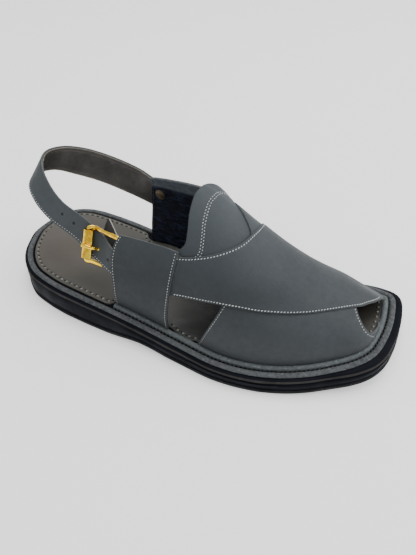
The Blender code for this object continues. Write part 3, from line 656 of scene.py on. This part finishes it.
def sweep(name, profile, mats, nodes, chosen=None):
    # a profile of inset and height, carried round the outline or along chosen points of it
    indices = np.arange(len(outline)) if chosen is None else np.array(chosen)
    level = deck(outline[indices, 0] - profile[0][0] * outward[indices, 0])
    rings = [np.column_stack([outline[indices] - inward * outward[indices], level + height])
             for inward, height in profile]
    return loftPiece(name, rings, mats, nodes, closedTube=True, closedRing=chosen is None)


gap, ww, wt = shoe["gap"], shoe["weltWidth"], shoe["weltThick"]
sweep("welt", [
    (0.0003, 0.0001), (0, wt * 0.45), (0.0005, wt * 0.85), (0.0012, wt * 1.02), (ww * 0.5, wt * 1.06),
    (ww - 0.0009, wt * 1), (ww - 0.0003, wt * 0.82), (ww, wt * 0.4), (ww, 0.0001),
], [weltSkin], ("welt",))
beadLook = {"start": (0.354, 0.319), "segments": 12}
profile = [(beadOuter + 0.0002, 0.0001)]
for k in range(beadLook["segments"] + 1):
    angle = math.pi * k / beadLook["segments"]
    profile.append((beadOuter - 0.0003 + shoe["roll"] * (0.5 - 0.5 * math.cos(angle)),
                    gap + shoe["bead"] * (0.28 + 0.78 * math.sin(angle))))
profile.append((beadOuter + shoe["roll"] - 0.0006, 0.0001))
beadPoints = [i for i in range(len(outline))
              if outlineX[i] > beadLook["start"][0 if i < outlineHalf else 1] * shoe["length"]]
sweep("toeBead", profile, [beadSkin], ("toe_bead",), beadPoints)
print("welt and bead made")

# insole, with a pressed edge, a raised arch and stitches near its edge
insoleLook = {
    "narrowFrom": (0.3, 0.338), "narrowOver": 0.016,    # where it narrows to pass inside the upper
    "toeFrom": 0.944, "sideGap": 0.548, "wider": 0.002,    # it reaches the bead where the upper is open
    "arch": 0.0055, "archWide": 0.02, "pitch": 0.005, "stitchInset": 0.0025, "stitch": (0.0024, 0.00085),
    "inside": (0.0018, 0.000595), "hole": (0.0026, 0.00105),
}
pointNumber = np.arange(len(outline))
isLateral = pointNumber < outlineHalf
narrowFrom = np.where(isLateral, insoleLook["narrowFrom"][1], insoleLook["narrowFrom"][0])
narrow = eased(outlineX / shoe["length"], narrowFrom, insoleLook["narrowOver"])
insoleLine = shoe["insoleEdge"] + (insoleEdge - shoe["insoleEdge"]) * narrow
bare = ramp(offsetRing(-insoleEdge)[:, 0] / shoe["length"], insoleLook["toeFrom"], 0.008)
bareSide = np.clip(1 - np.abs(outlineX / shoe["length"] - insoleLook["sideGap"]) / 0.03, 0, 1) * isLateral
insoleLine = insoleLine - insoleLook["wider"] * np.maximum(bare, np.clip(bareSide * 4, 0, 1))
insoleRing = offsetRing(-insoleLine)


def archRise(x, fromMedial):
    share = x / shoe["length"]
    arch = ramp(share, 0.31, 0.1) * ramp(share, 0.6, -0.1)
    near = np.clip(1 - fromMedial / insoleLook["archWide"], 0, 1)
    return insoleLook["arch"] * np.sin(arch * math.pi / 2) ** 2 * near * near


def insolePoint(u, v, inner):
    half, order = np.linspace(0, 1, outlineHalf + 1), np.arange(outlineHalf + 1)
    u = 0.5 - 0.5 * np.cos(math.pi * np.clip(u, 0.012, 0.988))
    pa, pb = between(u, half, insoleRing[order]), between(u, half, insoleRing[-order % len(insoleRing)])
    flat = pa * (1 - v[..., None]) + pb * v[..., None]
    wide = np.linalg.norm(pb - pa, axis=-1)
    d = np.minimum(np.minimum(v, 1 - v) * wide, 0.02)
    height = shoe["insole"] - 0.0007 * bell(d, 0.0008) - 0.00035 * bell(d - 0.0026, 0.0009)
    height = height + 0.0001 * np.sin(flat[..., 0] * 130 + 1) * np.sin(flat[..., 1] * 170)
    height = height + archRise(flat[..., 0], (1 - v) * wide)
    return np.column_stack([flat, deck(flat[..., 0]) + gap * 0.5 + np.where(inner, 0, height)])


sheetPiece("insole", insolePoint, 170, 60, [insoleSkin] * 3, ("insole",), width=0.08, edgeStep=0.0008, rounding=0)


def levelRow(ring, chosen, height):
    # a row of places that all face up
    places = np.column_stack([ring[chosen], deck(ring[chosen, 0]) + height])
    return places, np.tile((0, 0, 1), (len(places), 1))


insoleTop = gap * 0.5 + shoe["insole"] - 0.0004
holeRing = offsetRing(-insoleLine - insoleLook["stitchInset"] - 0.0005)
stitchRing = offsetRing(-insoleLine - insoleLook["stitchInset"])
inside = ~isLateral & (outlineX <= 0.22)
# black marks at the needle holes: painted shade in the holes
stitches("insoleHoles", [levelRow(holeRing, pointNumber, insoleTop)], holeShade,
         insoleLook["pitch"], *insoleLook["hole"], slant=0.25, flat=0.45, lift=0.00012)
stitches("insoleStitches", [levelRow(stitchRing, pointNumber[~inside], insoleTop)], greyThread,
         insoleLook["pitch"], *insoleLook["stitch"], flat=0.7, lift=0.0003, phase=0.96)
stitches("insoleStitchesInside", [levelRow(stitchRing, pointNumber[inside], insoleTop)], greyThread,
         insoleLook["pitch"], *insoleLook["inside"], slant=0.4, flat=0.7, lift=0.0002, phase=0.96)
grooveRing = offsetRing(-(ww + shoe["groove"] * 0.5))
stitches("grooveStitches", [levelRow(grooveRing, beadPoints, 0.0016)], blackThread,
         0.003, 0.0034, 0.0006, slant=0.62, flat=0.9, jitter=0.05)
print("insole and sole stitches made")

# upper: share of length and share across from lateral to medial
topFront = [(0.43, 0.12), (0.51, 0.145), (0.588, 0.175), (0.636, 0.202), (0.678, 0.226), (0.72, 0.25),
            (0.76, 0.279), (0.8, 0.311), (0.838, 0.35), (0.876, 0.402), (0.908, 0.462), (0.93, 0.511),
            (0.947, 0.565), (0.957, 0.65), (0.96, 0.76), (0.959, 0.88), (0.954, 1)]
topRear = [(0.43, 0.24), (0.515, 0.25), (0.563, 0.28), (0.603, 0.33), (0.634, 0.4), (0.648, 0.5),
           (0.649, 0.6), (0.64, 0.72), (0.624, 0.84), (0.602, 0.93), (0.582, 1)]
underFront = [(0.5, 0.862), (0.54, 0.85), (0.59, 0.83), (0.68, 0.79), (0.776, 0.73), (0.834, 0.67),
              (0.88, 0.58), (0.916, 0.44), (0.941, 0.325), (0.96, 0.2), (0.966, 0)]
underRear = [(0.502, 0.752), (0.53, 0.735), (0.56, 0.69), (0.59, 0.6), (0.619, 0.53), (0.643, 0.48),
             (0.656, 0.4), (0.652, 0.28), (0.636, 0.18), (0.612, 0.09), (0.586, 0)]
tongueTable = [(0.255, 0.505, 0.56), (0.285, 0.522, 0.59), (0.32, 0.521, 0.62), (0.37, 0.514, 0.65),
               (0.44, 0.511, 0.67), (0.5, 0.514, 0.676), (0.56, 0.515, 0.67), (0.6, 0.518, 0.66),
               (0.64, 0.526, 0.645), (0.68, 0.537, 0.62), (0.715, 0.537, 0.59), (0.745, 0.515, 0.56)]
lateralQuarter = [(0, 0.358, 0.509), (0.05, 0.358, 0.509), (0.1, 0.357, 0.509),
                  (0.16, 0.35, 0.51), (0.19, 0.349, 0.511), (0.23, 0.353, 0.513),
                  (0.262, 0.364, 0.515)]
medialQuarter = [(1, 0.322, 1, 0.5), (0.95, 0.321, 0.95, 0.5), (0.9, 0.322, 0.9, 0.5),
                 (0.85, 0.327, 0.845, 0.502), (0.8, 0.332, 0.785, 0.505), (0.752, 0.337, 0.718, 0.508)]


# stitch rows with the trough that they pull, the turned edge of the leather, and how the layers lie
sew = {"inset": 0.0016, "deep": 0.00022, "half": 0.0006, "pitch": 0.00215, "stitch": 0.00145, "radius": 0.00036,
       "tongueRows": (0.0116, 0.0134), "edgeDrop": 0.00035, "edgeHalf": 0.0007}
layers = {"toeDrop": 0.0034, "cornerFlare": 0.005}
creaseScale = (0.2, 0.06)    # metres along and across a band


def overTongue(share, t):
    # up over the under band, and down again at the medial toe, where nothing lies below
    toe = eased(share, 0.84, 0.1) * eased(t, 0.56, 0.2)
    return shoe["layer"] * (1 + eased(share, 0.585, 0.07)) - layers["toeDrop"] * toe


def tongueFlare(share, t):
    # the corner of the tongue stands off the foot
    across = eased(t, 0.555, 0.125) * (1 - eased(t, 0.69, 0.05))
    return layers["cornerFlare"] * across * (1 - eased(share, 0.52, 0.09))


def flatLayer(step):
    return lambda share, t: 0 * t + shoe["layer"] * step


# rows: edge (0 first, 1 second), inset, depth and half width
bothRows = [(side, sew["inset"], sew["deep"], sew["half"]) for side in (0, 1)]
tongueTroughs = [(0, inset, 0.00018, 0.0009) for inset in sew["tongueRows"]]
upperMats = [leather, innerSkin, cutEdge]
tonguePoint = bandPoint(*edgesOf(tongueTable), tongueFlare, shoe["wall"], rows=tongueTroughs)
sheetPiece("tongue", tonguePoint, 110, 46, upperMats, ("upper",), width=0.045)
# creases: start and end along and across the band, half width, height
underPoint = bandPoint(underFront, underRear, flatLayer(1), shoe["wall"], rows=bothRows, creases=(
    (0.6, 0.2, 0.98, 0.55, 0.012, 0.0003), (0.72, 0.1, 0.8, 0.9, 0.009, -0.0003),
    (0.88, 0.3, 0.8, 0.8, 0.008, 0.00025)))
sheetPiece("underBand", underPoint, 190, 70, upperMats, ("upper",), width=0.09)
topPoint = bandPoint(topFront, topRear, overTongue, shoe["wall"], rows=bothRows, creases=(
    (0.05, 0.15, 0.25, 0.3, 0.01, -0.0004), (0.12, 0.6, 0.45, 0.5, 0.014, 0.0004),
    (0.35, 0.1, 0.62, 0.2, 0.01, -0.00025), (0.6, 0.85, 0.8, 0.4, 0.015, -0.00045),
    (0.78, 0.2, 0.95, 0.6, 0.012, 0.0003)))
sheetPiece("topBand", topPoint, 200, 76, upperMats, ("upper",), width=0.09)
lateralPoint = bandPoint(*edgesOf(lateralQuarter), flatLayer(2), shoe["wall"], rows=bothRows, creases=(
    (0.25, 0.3, 0.45, 0.8, 0.008, -0.00035), (0.6, 0.2, 0.75, 0.5, 0.009, 0.0003)))
sheetPiece("lateralQuarter", lateralPoint, 80, 56, upperMats, ("upper",), width=0.045)
medialPoint = bandPoint(*edgesOf(medialQuarter), flatLayer(2), shoe["wall"], rows=bothRows)
sheetPiece("medialQuarter", medialPoint, 80, 56, [leather, quarterLining, cutEdge], ("upper",), width=0.045)
print("upper made")


def bandRow(point, side, start, stop, inset=sew["inset"], inner=False):
    u = np.linspace(start, stop, 160)
    d = inset / point.width(u)
    v = d if side == 0 else 1 - d
    places, outs = rowOn(point, u, v, 0.00012)
    return (point(u, v, True) - 0.00012 * outs, -outs) if inner else (places, outs)


threadRows = [(topPoint, 0, 0.07, 0.8), (topPoint, 1, 0.09, 0.98), (underPoint, 0, 0.52, 0.97),
              (underPoint, 1, 0.62, 0.98)]
threadRows += [(point, side, 0.06, 0.985) for point in (lateralPoint, medialPoint) for side in (0, 1)]
threadRows += [(tonguePoint, 0, 0.04, 0.96, inset) for inset in sew["tongueRows"]]
stitches("upperStitches", [bandRow(*row) for row in threadRows], paleThread,
         sew["pitch"], sew["stitch"], sew["radius"], slant=0.3, flat=0.8, jitter=0.05)
stitches("liningStitches", [bandRow(medialPoint, 0, 0.06, 0.985, inner=True)], liningThread,
         sew["pitch"], sew["stitch"], sew["radius"] * 0.8, slant=0.2, flat=0.8, jitter=0.05)
print("upper stitches made")

# back strap: top edge and lower edge at each station
strapTable = [
    (0.284, 0.35, 0.928, 0.265, 0.288, 0.686), (0.211, 0.3, 1.03, 0.192, 0.23, 0.792),
    (0.151, 0.228, 1.106, 0.129, 0.158, 0.872), (0.109, 0.133, 1.149, 0.082, 0.082, 0.933),
    (0.088, 0.034, 1.148, 0.059, -0.02, 0.946), (0.097, -0.054, 1.096, 0.063, -0.127, 0.922),
    (0.132, -0.133, 1.007, 0.099, -0.215, 0.852), (0.183, -0.195, 0.92, 0.155, -0.272, 0.767),
    (0.247, -0.222, 0.848, 0.221, -0.296, 0.69), (0.3, -0.25, 0.76, 0.28, -0.332, 0.592)]
strapMedialEnd = [(0.455, 0.8, 0.892), (0.405, 0.796, 0.904), (0.34, 0.789, 0.924)]
strapLateralEnd = [(0.352, 0.206, 0.128), (0.385, 0.196, 0.122), (0.415, 0.188, 0.118)]


def strapStations():
    outer = pressed(0.8, shoe["layer"] * 2) + shoe["wall"] + shoe["standOff"] + shoe["strap"] / 2
    inner = pressed(0.2, shoe["layer"] * 2) - gap - shoe["strap"] / 2
    sizes = np.array([shoe["length"], shoe["ball"], shoe["instep"]])
    rows = [[onShare(share, t, outer) for t in edges] for share, *edges in strapMedialEnd]
    rows += [[np.array(row[:3]) * sizes, np.array(row[3:]) * sizes] for row in strapTable]
    return rows + [[onShare(share, t, inner) for t in edges] for share, *edges in strapLateralEnd]


strapSteps = 12
strapTop, strapLow = (smoothCurve(edge, strapSteps) for edge in zip(*strapStations()))
strapMiddle = (strapTop + strapLow) / 2
strapAcross = strapTop - strapLow
strapOut = -unit(np.cross(strapAcross, np.gradient(strapMiddle, axis=0)))
strapWide = np.linalg.norm(strapAcross, axis=1)
strapIndex = np.linspace(0, 1, len(strapMiddle))
strapLength = runOf(strapMiddle)[-1]


def strapField(field, u):
    return between(u, strapIndex, field)


strapLook = {"seam": -0.25, "inset": 0.0006, "stitchInset": 0.0016, "hole": 0.0011, "channel": 0.00035,
             "wrinkle": 0.00035, "bend": (0.5, 0.075), "holes": [(0.6842, 0.575), (0.72, 0.53), (0.8467, 0.455)]}


def strapSheet(outerFace, innerFace, inset):
    # one layer of the strap, its faces given as shares of half the thickness
    def point(u, v, inner):
        u, v, inner = together(u, v, inner)
        wide = np.interp(u, strapIndex, strapWide)
        v = 0.5 + (v - 0.5) * (1 - 2 * inset / wide)
        place = strapField(strapMiddle, u) + strapField(strapAcross, u) * (v - 0.5)[..., None]
        d, low = np.minimum(v, 1 - v) * wide, v * wide
        relief = -0.00022 * bell(low - strapLook["stitchInset"], 0.0006) - 0.0003 * bell(d, 0.0007)
        for holeU, holeV in strapLook["holes"]:
            away = np.hypot((u - holeU) * strapLength, (v - holeV) * wide)
            relief = relief - 0.0003 * bell(away, 0.0017)
        bend = bell(u - strapLook["bend"][0], strapLook["bend"][1])
        wrinkle = strapLook["wrinkle"] * bend * np.sin(u * 330 + 5 * v) * (0.6 + 0.4 * np.sin(u * 97 + 3))
        channel = -strapLook["channel"] * bell(d - 0.0026, 0.0005)
        half = shoe["strap"] / 2
        depth = half * np.where(inner, innerFace, outerFace)
        depth = depth + np.where(depth > 0.9 * half, relief + 0.12 * wrinkle, 0)
        depth = depth - np.where(depth < -0.9 * half, channel + wrinkle, 0)
        return place + depth[..., None] * strapField(strapOut, u)

    return point


strapPoint = strapSheet(1, strapLook["seam"], 0)
liningPoint = strapSheet(strapLook["seam"] - 0.06, -1, strapLook["inset"])
sheetPiece("backStrap", strapPoint, 300, 30, [litStrapSkin, litStrapSkin, cutEdge], ("back_strap",),
           width=0.018, edgeStep=0.0005, rounding=0.0004)
sheetPiece("strapLining", liningPoint, 300, 30, [beltLining, beltLining, liningEdge], ("back_strap",),
           width=0.018, edgeStep=0.0005, rounding=0.0003)
u = np.linspace(0.02, 0.985, 500)
d = strapLook["stitchInset"] / np.interp(u, strapIndex, strapWide)
places, outs = rowOn(strapPoint, u, d)
outs *= np.sign(np.sum(outs * strapField(strapOut, u), axis=1))[:, None]
stitches("strapStitches", [(places, outs)], paleThread, 0.0022, 0.0012, 0.00026,
         slant=0.2, flat=0.8, lift=0.0001, jitter=0.05)
# black discs over the strap's punched holes: painted shade in the holes
bm = bmesh.new()
for holeU, holeV in strapLook["holes"]:
    out = strapField(strapOut, holeU)
    turn = Vector(out).to_track_quat("Z", "Y").to_matrix().to_4x4()
    turn.translation = Vector(strapPoint([holeU], [holeV], False)[0] + 0.00002 * out)
    bmesh.ops.create_cone(bm, cap_ends=True, segments=20, radius1=strapLook["hole"] * 0.85,
                          radius2=strapLook["hole"], depth=0.0002, matrix=turn)
finishPiece("strapHoles", bm, [holeShade], ())
print("strap made")

# buckle: columns are strap station, up the strap and outwards, in wires
buckle = {
    "wire": 0.002, "bar": 0.0034, "barThick": 0.002, "rollerLength": 0.0212, "rollerWide": 0.008,
    "rollerHigh": 0.0046, "rollerWall": 0.0005, "prong": 0.0018, "barDepth": 0.0026, "guard": 0.0015,
    "corner": (11.62, 4.76, 0.9), "sideEnd": (12.93, 8.9, -1.6),
    "frameLower": [(12.95, -4, -2.1), (12.58, -4.5, -2.9), (12.3, -6, -1.5), (12.12, -6.3, 0.4)],
    "fixedBar": [(0.366, 0.236), (0.3658, 0.215), (0.3655, 0.188), (0.3645, 0.156)],
    "rollerEnds": [(11.49, 2.96, 1.85), (11.955, -6, 1.85)],
    "prongRun": [(12.95, 2.6, -1.3), (12.62, 1.2, -1.35), (12.36, 0.1, -1.05), (12.17, -0.55, 0.35),
                 (12.09, -0.8, 2.1), (12, -1.05, 3.2), (11.8, -1.7, 3.8), (11.6, -2.55, 3.65)],
}


def besideStrap(station, up, outwards):
    u = station * strapSteps / (len(strapMiddle) - 1)
    across = unit(strapField(strapAcross, u))
    return strapField(strapMiddle, u) + buckle["wire"] * (up * across + outwards * strapField(strapOut, u))


def tubePiece(name, path, widths, heights, facing, sides, mat, nodes, closed):
    # oval bar along a path, its wide side kept square to the facing directions
    count = len(path)
    rings = []
    for i in range(count):
        before = path[(i - 1) % count] if closed or i > 0 else path[0]
        after = path[(i + 1) % count] if closed or i < count - 1 else path[-1]
        along = unit(after - before)
        lift = unit(facing[i] - along * np.dot(facing[i], along))
        side = np.cross(along, lift)
        ring = []
        for angle in 2 * math.pi * np.arange(sides) / sides:
            c, s = (np.sign(value) * abs(value) ** 0.75 for value in (math.cos(angle), math.sin(angle)))
            ring.append(path[i] + side * widths[i] / 2 * c + lift * heights[i] / 2 * s)
        rings.append(np.array(ring))
    return loftPiece(name, rings, [mat], nodes, closedTube=closed, angle=60)


highEnd, lowEnd = (besideStrap(*row) for row in buckle["rollerEnds"])
rollerMiddle = (highEnd + lowEnd) / 2
rollerAxis = unit(highEnd - lowEnd)
outwardsHere = besideStrap(11.8, 0, 1) - besideStrap(11.8, 0, 0)
rollerSide = unit(np.cross(rollerAxis, outwardsHere))
rollerLift = np.cross(rollerSide, rollerAxis)
wall = buckle["rollerWall"]
sleeve = []
for end, inset in [(-0.5, 0.0002), (-0.497, 0), (-0.49, 0), (0, 0.00004), (0.49, 0), (0.497, 0),
                   (0.5, 0.0002), (0.5, wall), (0.45, wall), (-0.45, wall), (-0.5, wall)]:
    # the sleeve's open seam lies on its hidden face
    angle = np.radians(np.linspace(-84, 264, 40))[:, None]
    sleeve.append(rollerMiddle + rollerAxis * buckle["rollerLength"] * end
                  + rollerSide * (buckle["rollerWide"] / 2 - inset) * np.cos(angle)
                  + rollerLift * (buckle["rollerHigh"] / 2 - inset) * np.sin(angle))
loftPiece("buckleRoller", sleeve, [gold], ("buckle_roller",), closedTube=True, angle=40)

barPoints = [onShare(share, t, -buckle["barDepth"]) for share, t in buckle["fixedBar"]]
corner, sideEnd = besideStrap(*buckle["corner"]), besideStrap(*buckle["sideEnd"])
loop = [corner + (sideEnd - corner) * k / 4 for k in range(5)] + barPoints
loop += [besideStrap(*row) for row in buckle["frameLower"]]
loop += [rollerMiddle + rollerAxis * buckle["rollerLength"] * end for end in (-0.56, -0.4, 0.4, 0.56)]
frameCurve = smoothCurve(loop, 10, closed=True)
planeUp = unit(np.cross(loop[0] - loop[8], loop[4] - loop[11]))
planeUp *= np.sign(np.dot(planeUp, outwardsHere))
fromRoller = frameCurve - rollerMiddle
pastEnd = np.abs(fromRoller @ rollerAxis) / buckle["rollerLength"]
pastMiddle = np.linalg.norm(fromRoller, axis=1) / buckle["rollerLength"]
nearRoller = np.clip(ramp(pastEnd, 0.5, 0.08) + ramp(pastMiddle, 0.75, 0.2), 0, 1)
wideBar = buckle["wire"] + (buckle["bar"] - buckle["wire"]) * nearRoller
tubePiece("buckleFrame", frameCurve, wideBar, [buckle["barThick"]] * len(frameCurve),
          [planeUp] * len(frameCurve), 16, gold, ("buckle_frame",), True)
hinge = (barPoints[1] + barPoints[2]) / 2
prongRun = smoothCurve([besideStrap(*row) for row in buckle["prongRun"]], 7)
lift = unit(onShare(0.3655, 0.205, 0) - onShare(0.3655, 0.205, -0.002))
toward = prongRun[0] - hinge
toward = unit(toward - lift * np.dot(toward, lift))
reach = buckle["wire"] / 2 + gap + buckle["prong"] / 2
eye = [hinge + reach * (math.cos(a) * lift - math.sin(a) * toward) for a in np.radians(np.linspace(250, 0, 17))]
prongPath = eye + list(prongRun[6:])
prongFace = [p - hinge for p in eye] + [outwardsHere] * (len(prongPath) - len(eye))
tipShare = np.clip((np.arange(len(prongPath)) - len(prongPath) + 10) / 9, 0, 1)
tubePiece("buckleProng", prongPath, buckle["prong"] * (1.3 + 0.45 * tipShare),
          buckle["prong"] * (0.9 - 0.25 * tipShare), prongFace, 12, gold, ("buckle_prong",), False)

guardTable = [(0.105, 0.322, 0.452), (0.15, 0.313, 0.452), (0.19, 0.303, 0.45), (0.225, 0.298, 0.4),
              (0.248, 0.292, 0.339), (0.272, 0.291, 0.32), (0.29, 0.293, 0.308), (0.304, 0.295, 0.299)]
guardDepth = buckle["barDepth"] + buckle["wire"] / 2 + gap + buckle["guard"]


def guardBase(share, t):
    # under the strap's end it rises to the quarter, and its tip sinks
    rise = eased(share, 0.418, 0.028)
    sink = 0.0042 * ramp(share, 0.352, -0.052)
    return -guardDepth + rise * (guardDepth + shoe["layer"] - gap * 2 - buckle["guard"]) - sink


guardPoint = bandPoint(*edgesOf(guardTable), guardBase, buckle["guard"])
sheetPiece("buckleGuard", guardPoint, 50, 30, [shadedGuardSkin, shadedGuardSkin, guardEdge], ("buckle_guard",),
           width=0.03, rounding=0.0003)

# rivet through the medial quarter and the strap
rivet = {"share": 0.355, "across": 0.849, "head": 0.0045, "shank": 0.0015, "dome": 0.0012}
rivetFoot = onShare(rivet["share"], rivet["across"], 0)
rivetAxis = unit(onShare(rivet["share"], rivet["across"], 0.002) - rivetFoot)
rivetSide = unit(np.cross(rivetAxis, (1, 0, 0)))
rivetOther = np.cross(rivetAxis, rivetSide)
innerFace = shoe["layer"] * 2 - gap
outerFace = shoe["layer"] * 2 + shoe["wall"] + shoe["standOff"] + shoe["strap"] + gap * 2
shank = rivet["shank"] / rivet["head"]
# rows: shares of the head's radius and of the dome's height
innerRows = [(0.3, 1.02), (0.58, 0.98), (0.7, 0.8), (0.76, 0.55), (0.86, 0.62), (0.97, 0.4), (1, 0.1), (0.98, 0),
             (shank, 0)]
outerRows = [(shank, 0), (0.98, 0), (1, 0.25), (0.92, 0.7), (0.7, 0.92), (0.3, 1)]
turned = [(radius, innerFace - rivet["dome"] * rise) for radius, rise in innerRows]
turned += [(radius, outerFace + rivet["dome"] * rise) for radius, rise in outerRows]
angles = np.linspace(0, 2 * math.pi, 33)[:-1, None]
circle = rivet["head"] * (np.cos(angles) * rivetSide + np.sin(angles) * rivetOther)
loftPiece("rivet", [rivetFoot + height * rivetAxis + radius * circle for radius, height in turned],
          [bronze], ("rivet",), angle=35)
print("buckle and rivet made")

# floor, light and camera
stage = bpy.data.meshes.new("floor")
bm = bmesh.new()
bmesh.ops.create_grid(bm, x_segments=1, y_segments=1, size=6)
bm.to_mesh(stage)
bm.free()
floor = bpy.data.objects.new("floor", stage)
bpy.context.scene.collection.objects.link(floor)
paper = Graph("floor paper")
stage.materials.append(paper.finish((0.82, 0.82, 0.815), 0.75,
                                    Emission_Color=(1, 1, 0.99, 1), Emission_Strength=0.54))
world = bpy.data.worlds.new("studio")
bpy.context.scene.world = world
world.use_nodes = True
sky = world.node_tree.nodes["Background"].inputs
sky["Color"].default_value, sky["Strength"].default_value = (0.93, 0.945, 0.95, 1), 0.76


def softbox(name, place, target, size, power, colour=(1, 1, 1)):
    light = bpy.data.lights.new(name, "AREA")
    light.shape = "RECTANGLE"
    light.size, light.size_y = size
    light.energy = power
    light.color = colour
    obj = bpy.data.objects.new(name, light)
    obj.location = place
    obj.rotation_euler = (Vector(target) - Vector(place)).to_track_quat("-Z", "Y").to_euler()
    bpy.context.scene.collection.objects.link(obj)


softbox("overhead", (0.05, 0.35, 1.5), (0, 0, 0), (1, 1), 18)
softbox("window", (1.1, 0.55, 0.7), (0.05, 0, 0.04), (0.9, 0.7), 10, (0.97, 0.99, 1))
softbox("leftCard", (-1.1, 0.1, 0.6), (-0.12, 0, 0.07), (0.6, 0.6), 1)

view = {"azimuth": 26.04, "elevation": 44.4, "distance": 0.4645, "roll": -1.6,
        "focus": (0.1461, 0.0261, 0), "lens": 560 * 36 / 555}
a, e, roll = (math.radians(view[key]) for key in ("azimuth", "elevation", "roll"))
back = Vector((math.sin(a) * math.cos(e), -math.cos(a) * math.cos(e), math.sin(e)))
right = Vector((math.cos(a), math.sin(a), 0))
up = back.cross(right)
right, up = (right * math.cos(roll) + up * math.sin(roll), up * math.cos(roll) - right * math.sin(roll))
lens = bpy.data.cameras.new("camera")
lens.lens, lens.sensor_width, lens.sensor_fit = view["lens"], 36, "AUTO"
lens.clip_start, lens.clip_end = 0.01, 20
camera = bpy.data.objects.new("camera", lens)
spot = Vector(view["focus"]) + Vector(shift) + back * view["distance"]
camera.matrix_world = Matrix((
    (right.x, up.x, back.x, spot.x), (right.y, up.y, back.y, spot.y), (right.z, up.z, back.z, spot.z), (0, 0, 0, 1)))
bpy.context.scene.collection.objects.link(camera)
bpy.context.scene.camera = camera
print("camera and lights set")
